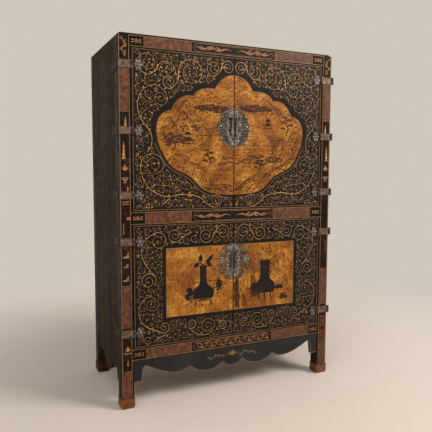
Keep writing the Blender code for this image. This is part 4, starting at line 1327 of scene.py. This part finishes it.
def still_life():
    """Two vases on stands for the lower doors, with sprigs and fruit beside them."""
    low, high = (-PANEL_U + 8, PANEL_V[0] + 8), (PANEL_U - 8, PANEL_V[1] - 8)
    scene = Painting(np.array((low, (high[0], low[1]), high, (low[0], high[1]))), 9)
    jar, bottle = np.array((-176, 526)), np.array((197, 524))
    scene.blob(profile_outline(*jar, JAR), "dark")
    scene.blob(profile_outline(*bottle, BOTTLE), "dark")
    scene.stroke(jar + ((-48, -8), (0, -5), (48, -8)), 5.2)
    for side in (-1, 1):
        for points, width, tone in JAR_LINES:
            scene.stroke(jar + np.array(points) * (side, 1), width, tone)
    mouth = jar + (0, JAR[-1][1])
    for base, tip in JAR_LEAVES:
        base, tip = mouth + base, mouth + tip
        scene.stroke((mouth, base), 3.0, "dark")
        scene.blob(leaf_outline(base, heading(tip - base), np.hypot(*(tip - base)), 24), "dark")
    for rise, half in ((34, 52), (56, 44)):
        scene.stroke(bottle + ((-half, rise + 3), (0, rise), (half, rise + 3)), 1.3)
    for aside in (-38, 0, 38):
        scene.stroke(bottle + ((aside, 4), (aside - 2, -20), (aside + 4, -40)), 4.6, "dark")
    for u in (114, 130):
        scene.stroke(((u, 566), (u - 2, 610), (u - 4, 644)), 3.6, "dark")
    star = np.array((221, 763))
    for turn in np.arange(6) * TAU / 6 + 0.3:
        scene.stroke((star + polar(turn, 5), star + polar(turn, 23)), 3.4, "dark")
    for u, v, a, b in FRUIT:
        scene.blob(ellipse(u, v, a, b, 16), "dark")
        scene.dashes(u, v, a * 1.6, b * 1.5, 16, (8, 22), 3.0, 0.5, "dark")
    scene.blob(ellipse(316, 492, 27, 13, 16))
    for dashes in STILL_LIFE_DASHES:
        scene.dashes(*dashes)
    return scene


def paint_grounds(mats):
    """Lay both pictures on the gold grounds, with a dark line of painted shade beside the seam."""
    for tier, scene in (("upper", landscape()), ("lower", still_life())):
        for side_name, side in SIDES:
            tones = ("ink", "dark", "grime") if tier == "upper" else ("ink", "dark")
            reliefs = {tone: Relief(front_ground()) for tone in tones}
            scene.draw(reliefs, side)
            low, high = (LOBES[-1][1][1] + 1, LOBES_TOP[1] - 3) if tier == "upper" else PANEL_V
            # Dark line beside the seam down each gold ground: painted shade of the gap between the
            # doors
            seam = side * (SEAM + 1.4)
            path = ((seam, low), (seam, high))
            reliefs["dark"].ribbon(path, 2.4, PAINT_H, None, PAINT_BASE, BRUSH_CREST)
            for tone, relief in reliefs.items():
                body = f"door_{tier}_{side_name}"
                relief.build(f"{body}_brushwork_{tone}", body, mats[tone], "black_lacquer")


def plate_scrolls():
    """Openwork of half a lock plate, about its own centre, on the left of the seam."""
    angles = np.linspace(0.5 * math.pi + 0.03, 1.5 * math.pi - 0.03, 60)
    oval = np.column_stack([OVAL[0] * np.cos(angles), OVAL[1] * np.sin(angles)])
    points = candidates((-PLATE_REACH[0], -PLATE_REACH[1]), (-4, PLATE_REACH[1]), 2.4)
    room = (1 - np.hypot(*(points / PLATE_REACH).T)) * PLATE_REACH[0]
    room[np.hypot(*(points / OVAL).T) < 1.0] = -1.0
    scrolls = Scrollwork(room, points, 1.2)
    scrolls.stroke(oval, 5.0, None)
    ear, radius = PLATE_EAR
    ring = ellipse(*ear, radius, radius, 24)
    scrolls.stroke(np.vstack([ring, [(ear[0] + radius, ear[1])]]), 8.0, None)
    for stem in PLATE_STEMS:
        scrolls.stroke(smooth(stem), 11.0, fade_out)
    scrolls.fill((2.2, 7.8), 5.0)
    return scrolls, oval


def rub_plate(relief, tier):
    """Rubbed curls and bosses of a lock plate; on the lower plates, rings round the piercings."""
    base, face = PLATE_H
    foot = face - 0.2
    for centre, radius, spin in PLATE_CURLS:
        path = spiral(centre, np.array(centre) + (radius, 0), 1.5, spin, 0.2)
        relief.ribbon(path, 3.0, face + 0.9, fade_out, foot)
        relief.dome(*path[-1], 2.2, face + 1.2, foot, 8)
    if tier == "lower":
        ear, reach = PLATE_EAR
        rings = [(u, v, size * 0.6 + 2.4, size + 2.4, 2.8) for u, v, size in KEYHOLES[tier]]
        for u, v, a, b, width in (*rings, (*ear, reach, reach, 4.4)):
            ring = ellipse(u, v, a, b, 18)
            relief.ribbon(np.vstack([ring, ring[:1]]), width, face + 0.7, None, foot)
    for at, radius in PLATE_BOSSES:
        relief.dome(*at, radius, face + 1.6, base, 10)


def pull_eye(where):
    """Middle of a pull's eye, on the left of the seam."""
    low, high = box_mm(f"pull_{where}")
    return -abs(low.x + high.x) / 2, high.z - PULL_EYE_DROP


def add_staple(relief, where, middle):
    """Two legs and the bar from which a pull hangs."""
    u, v = pull_eye(where)
    v -= middle
    depth = (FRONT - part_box(f"pull_{where}")[1].y) / MM + PULL_EYE_DROP
    for step in (-STAPLE_HALF_W, STAPLE_HALF_W):
        relief.patch(ellipse(u + step, v, 1.25, 2.3, 12), depth + 2.2, PLATE_H[1] - 0.3)
    relief.rod((u - STAPLE_HALF_W, v, depth), (u + STAPLE_HALF_W, v, depth), 1.7)


def dress_plates(mats):
    """Pierced lock plates in place of the plain ones, each with the staple of its pull."""
    scrolls, oval = plate_scrolls()
    base, face = PLATE_H
    straight = -SEAM - 1.0
    rim = np.vstack([oval, [(straight, -OVAL[1]), (straight, OVAL[1])]])
    for tier in TIERS:
        holes = [ellipse(u, v, size * 0.6, size, 12) for u, v, size in KEYHOLES[tier]]
        holes += [ellipse(-11, 66, 3.2, 4.0, 10), ellipse(-11, -60, 3.6, 6.0, 10)]
        for side_name, side in SIDES:
            where = f"{tier}_{side_name}"
            body = f"door_{where}"
            low, high = box_mm(f"lock_plate_{where}")
            middle = (low.z + high.z) / 2
            ground = front_ground(-side, rise=middle)
            openwork, disc, rubbed, keyhole_shade = (Relief(ground) for _ in range(4))
            scrolls.draw(openwork, openwork, openwork, face + 0.5, face, base, 0.72)
            add_staple(openwork, where, middle)
            disc.pierced(rim, holes, face, base)
            disc.ribbon(((-3.4, -OVAL[1]), (-3.4, OVAL[1])), 3.6, face + 0.6, None, base)
            rub_plate(rubbed, tier)
            # Dark patches behind the keyholes: painted shade of the lock's cavity
            for u, v, size in KEYHOLES[tier]:
                keyhole_shade.patch(ellipse(u, v, size * 0.8, size * 1.2, 14), KEYHOLE_SHADE_H)
            metal = mats["metal"]
            plate = openwork.build(f"lock_plate_{where}_openwork", body, metal, "aged_paktong")
            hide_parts(f"lock_plate_{where}")
            finish = metal if tier == "upper" else mats["lower_plate"]
            disc.build(f"lock_plate_{where}_oval", body, finish, "aged_paktong")
            rubbed.build(f"lock_plate_{where}_curls", body, mats["silver"], "aged_paktong")
            keyhole_shade.build(f"lock_plate_{where}_recess", body, mats["dark"], "black_lacquer")


def flower_trim(relief, bosses, u, v, half_v, ground_h):
    """Raised petals, rivets and boss over a flower-shaped hinge plate."""
    base = ground_h - 0.3
    for angle in np.arange(6) * math.pi / 3:
        tip = (FLOWER_HALF_U * math.cos(angle), half_v * math.sin(angle))
        reach, turn = math.hypot(*tip), heading(tip)
        foot = (u, v) + polar(turn, 0.24 * reach)
        relief.patch(leaf_outline(foot, turn, reach * 0.58, reach * 0.36), ground_h + 0.7, base)
        bosses.dome(*((u, v) + polar(turn, 0.78 * reach)), 2.4, ground_h + 1.5, base, 8)
    relief.dome(u, v, FLOWER_HALF_U * 0.3, ground_h + 3.2, base, 14)


def dress_hinges(mats):
    """Petals, beads, rivets and bosses on the hinges."""
    base, top = STRAP_H
    for name in sorted(NODES):
        if not name.startswith("hinge_leaf_"):
            continue
        where, number = name[len("hinge_leaf_"):].rsplit("_", 1)
        door, side = f"door_{where}", dict(SIDES)[where.split("_")[1]]
        low, high = box_mm(name)
        v, half_v = (low.z + high.z) / 2, (high.z - low.z) / 2
        leaf, leaf_boss, strap, strap_boss = (Relief(front_ground(-side)) for _ in range(4))
        flank, flank_boss = (Relief(side_ground(side)) for _ in range(2))
        flower_trim(leaf, leaf_boss, LEAF_FLOWER_U, v, half_v, LEAF_TOP_H)
        flower_trim(flank, flank_boss, FLANK_FLOWER_U, v, half_v, FLANK_TOP_H)
        for rise in (-15.5, 15.5):
            strap.ribbon(((-620, v + rise), (-562, v + rise)), 3.2, top, None, base)
        strap.ribbon(((-618, v), (-594, v + 3), (-566, v)), 5.0, top, fade_both, base)
        for u in (-613, -570):
            for rise in (8, -8):
                strap_boss.dome(u, v + rise, 2.4, 3.6, base, 8)
        for relief, piece, body, finish in (
            (leaf, "leaf_trim", door, "petal"), (leaf_boss, "leaf_boss", door, "silver"),
            (strap, "strap_bead", "case", "strap"), (strap_boss, "strap_rivets", "case", "silver"),
            (flank, "side_trim", "case", "strap"), (flank_boss, "side_boss", "case", "strap"),
        ):
            relief.build(f"hinge_{piece}_{where}_{number}", body, mats[finish], "aged_paktong")


def dress_door_backs(mats):
    """Split ends of the staples and hinge pins, bent flat on the inner faces of the doors."""
    for tier in TIERS:
        for side_name, side in SIDES:
            where = f"{tier}_{side_name}"
            places = [pull_eye(where)]
            for u, v, _, half_v in hinge_places(tier):
                places += [(u, v - half_v / 2), (u, v + half_v / 2)]
            pins = Relief(front_ground(-side, DOOR_BACK))
            for number, at in enumerate(places):
                lean = 0.5 if number % 2 else -0.4
                for turn in (lean, lean + math.pi):
                    path = np.array(at) + np.outer((1.0, 6.0, 13.0), polar(turn))
                    pins.ribbon(path, 3.2, -1.1, fade_out, 0.1, 0.6)
                pins.dome(*at, 2.4, -1.6, 0.1, 8)
            pins.build(f"door_{where}_pin_ends", f"door_{where}", mats["metal"], "aged_paktong")


def backdrop_rays(tree):
    """Rays that see the pale background: those of the camera, of reflections and through glass."""
    path = tree.nodes.new("ShaderNodeLightPath")
    seen = path.outputs["Is Camera Ray"]
    for kind in ("Is Glossy Ray", "Is Transmission Ray"):
        either = tree.nodes.new("ShaderNodeMath")
        either.operation = "MAXIMUM"
        tree.links.new(seen, either.inputs[0])
        tree.links.new(path.outputs[kind], either.inputs[1])
        seen = either.outputs[0]
    return seen


def floor_finish():
    """Pale floor that fades into the surround for the rays that see the background."""
    s = Shader("pale_floor")
    fine, broad = s.noise(150.0, 6.0, 0.75), s.noise(18.0, 5.0)
    mottle = s.math("ADD", s.math("MULTIPLY", broad, 0.15), s.math("MULTIPLY", fine, 0.85))
    colour = s.mix(s.mask(mottle, 0.3, 0.7), (228, 211, 196), (250, 239, 228))
    material = s.finish(colour, 0.85, s.noise(160.0, 5.0), 1.5)
    far = s.node("ShaderNodeVectorMath", {0: s.coords}, operation="LENGTH").outputs["Value"]
    limits = {"Value": far, "From Min": FLOOR_FADE[0], "From Max": FLOOR_FADE[1]}
    ease = s.node("ShaderNodeMapRange", limits, interpolation_type="SMOOTHSTEP").outputs["Result"]
    share = s.math("MULTIPLY", ease, backdrop_rays(s.tree))
    shown = s.mix(ease, s.mix(0.8, (232, 216, 202), colour), SURROUND)
    glow = s.node("ShaderNodeEmission", {"Color": shown, "Strength": 1.0})
    blend = s.node("ShaderNodeMixShader", {0: share, 1: s.bsdf.outputs[0], 2: glow.outputs[0]})
    s.tree.links.new(blend.outputs[0], s.tree.nodes["Material Output"].inputs["Surface"])
    return material


def set_stage():
    """Pale floor under a pale surround."""
    mesh = bpy.data.meshes.new("floor")
    ring = ellipse(0, 0, FLOOR_R, FLOOR_R, FLOOR_SIDES)
    mesh.from_pydata([(u, v, 0.0) for u, v in ring], [], [tuple(range(FLOOR_SIDES))])
    floor = bpy.data.objects.new("floor", mesh)
    bpy.context.scene.collection.objects.link(floor)
    mesh.materials.append(floor_finish())

    world = bpy.data.worlds.new("studio")
    bpy.context.scene.world = world
    world.use_nodes = True
    nodes, links = world.node_tree.nodes, world.node_tree.links
    sky = nodes["Background"]
    sky.inputs["Color"].default_value = srgb(*SKY)
    sky.inputs["Strength"].default_value = SKY_STRENGTH
    shown = nodes.new("ShaderNodeBackground")
    shown.inputs["Color"].default_value = srgb(*SURROUND)
    choose = nodes.new("ShaderNodeMixShader")
    links.new(backdrop_rays(world.node_tree), choose.inputs[0])
    links.new(sky.outputs[0], choose.inputs[1])
    links.new(shown.outputs[0], choose.inputs[2])
    links.new(choose.outputs[0], nodes["World Output"].inputs["Surface"])


def area_light(name, at, target, size, watts, colour):
    data = bpy.data.lights.new(name, "AREA")
    data.size = size
    data.energy = watts
    data.color = colour
    lamp = bpy.data.objects.new(name, data)
    lamp.location = at
    lamp.rotation_euler = (Vector(target) - Vector(at)).to_track_quat("-Z", "Y").to_euler()
    bpy.context.scene.collection.objects.link(lamp)


def set_camera():
    """Camera at the photograph's angle."""
    lens_mm, sensor_mm = 44.0, 36.0
    place = Vector((-1.265, -2.821, 1.206))
    yaw, pitch, roll = (math.radians(a) for a in (24.73, -4.99, 0.16))
    level = math.cos(pitch)
    ahead = Vector((math.sin(yaw) * level, math.cos(yaw) * level, math.sin(pitch)))
    right = Vector((math.cos(yaw), -math.sin(yaw), 0.0))
    up = right.cross(ahead)
    c, s = math.cos(roll), math.sin(roll)
    right, up = right * c + up * s, up * c - right * s
    data = bpy.data.cameras.new("camera")
    data.lens = lens_mm
    data.sensor_width = sensor_mm
    camera = bpy.data.objects.new("camera", data)
    turn = Matrix((right, up, -ahead)).transposed().to_4x4()
    camera.matrix_world = Matrix.Translation(place) @ turn
    bpy.context.scene.collection.objects.link(camera)
    bpy.context.scene.camera = camera


def main():
    bpy.context.scene.view_settings.view_transform = "Standard"
    mats = make_materials()
    dress_nodes(mats)
    decorate_doors(mats)
    paint_grounds(mats)
    decorate_rails(mats)
    decorate_posts(mats)
    decorate_apron(mats)
    dress_plates(mats)
    dress_hinges(mats)
    dress_door_backs(mats)
    set_stage()
    for light in LIGHTS:
        area_light(*light)
    set_camera()


main()
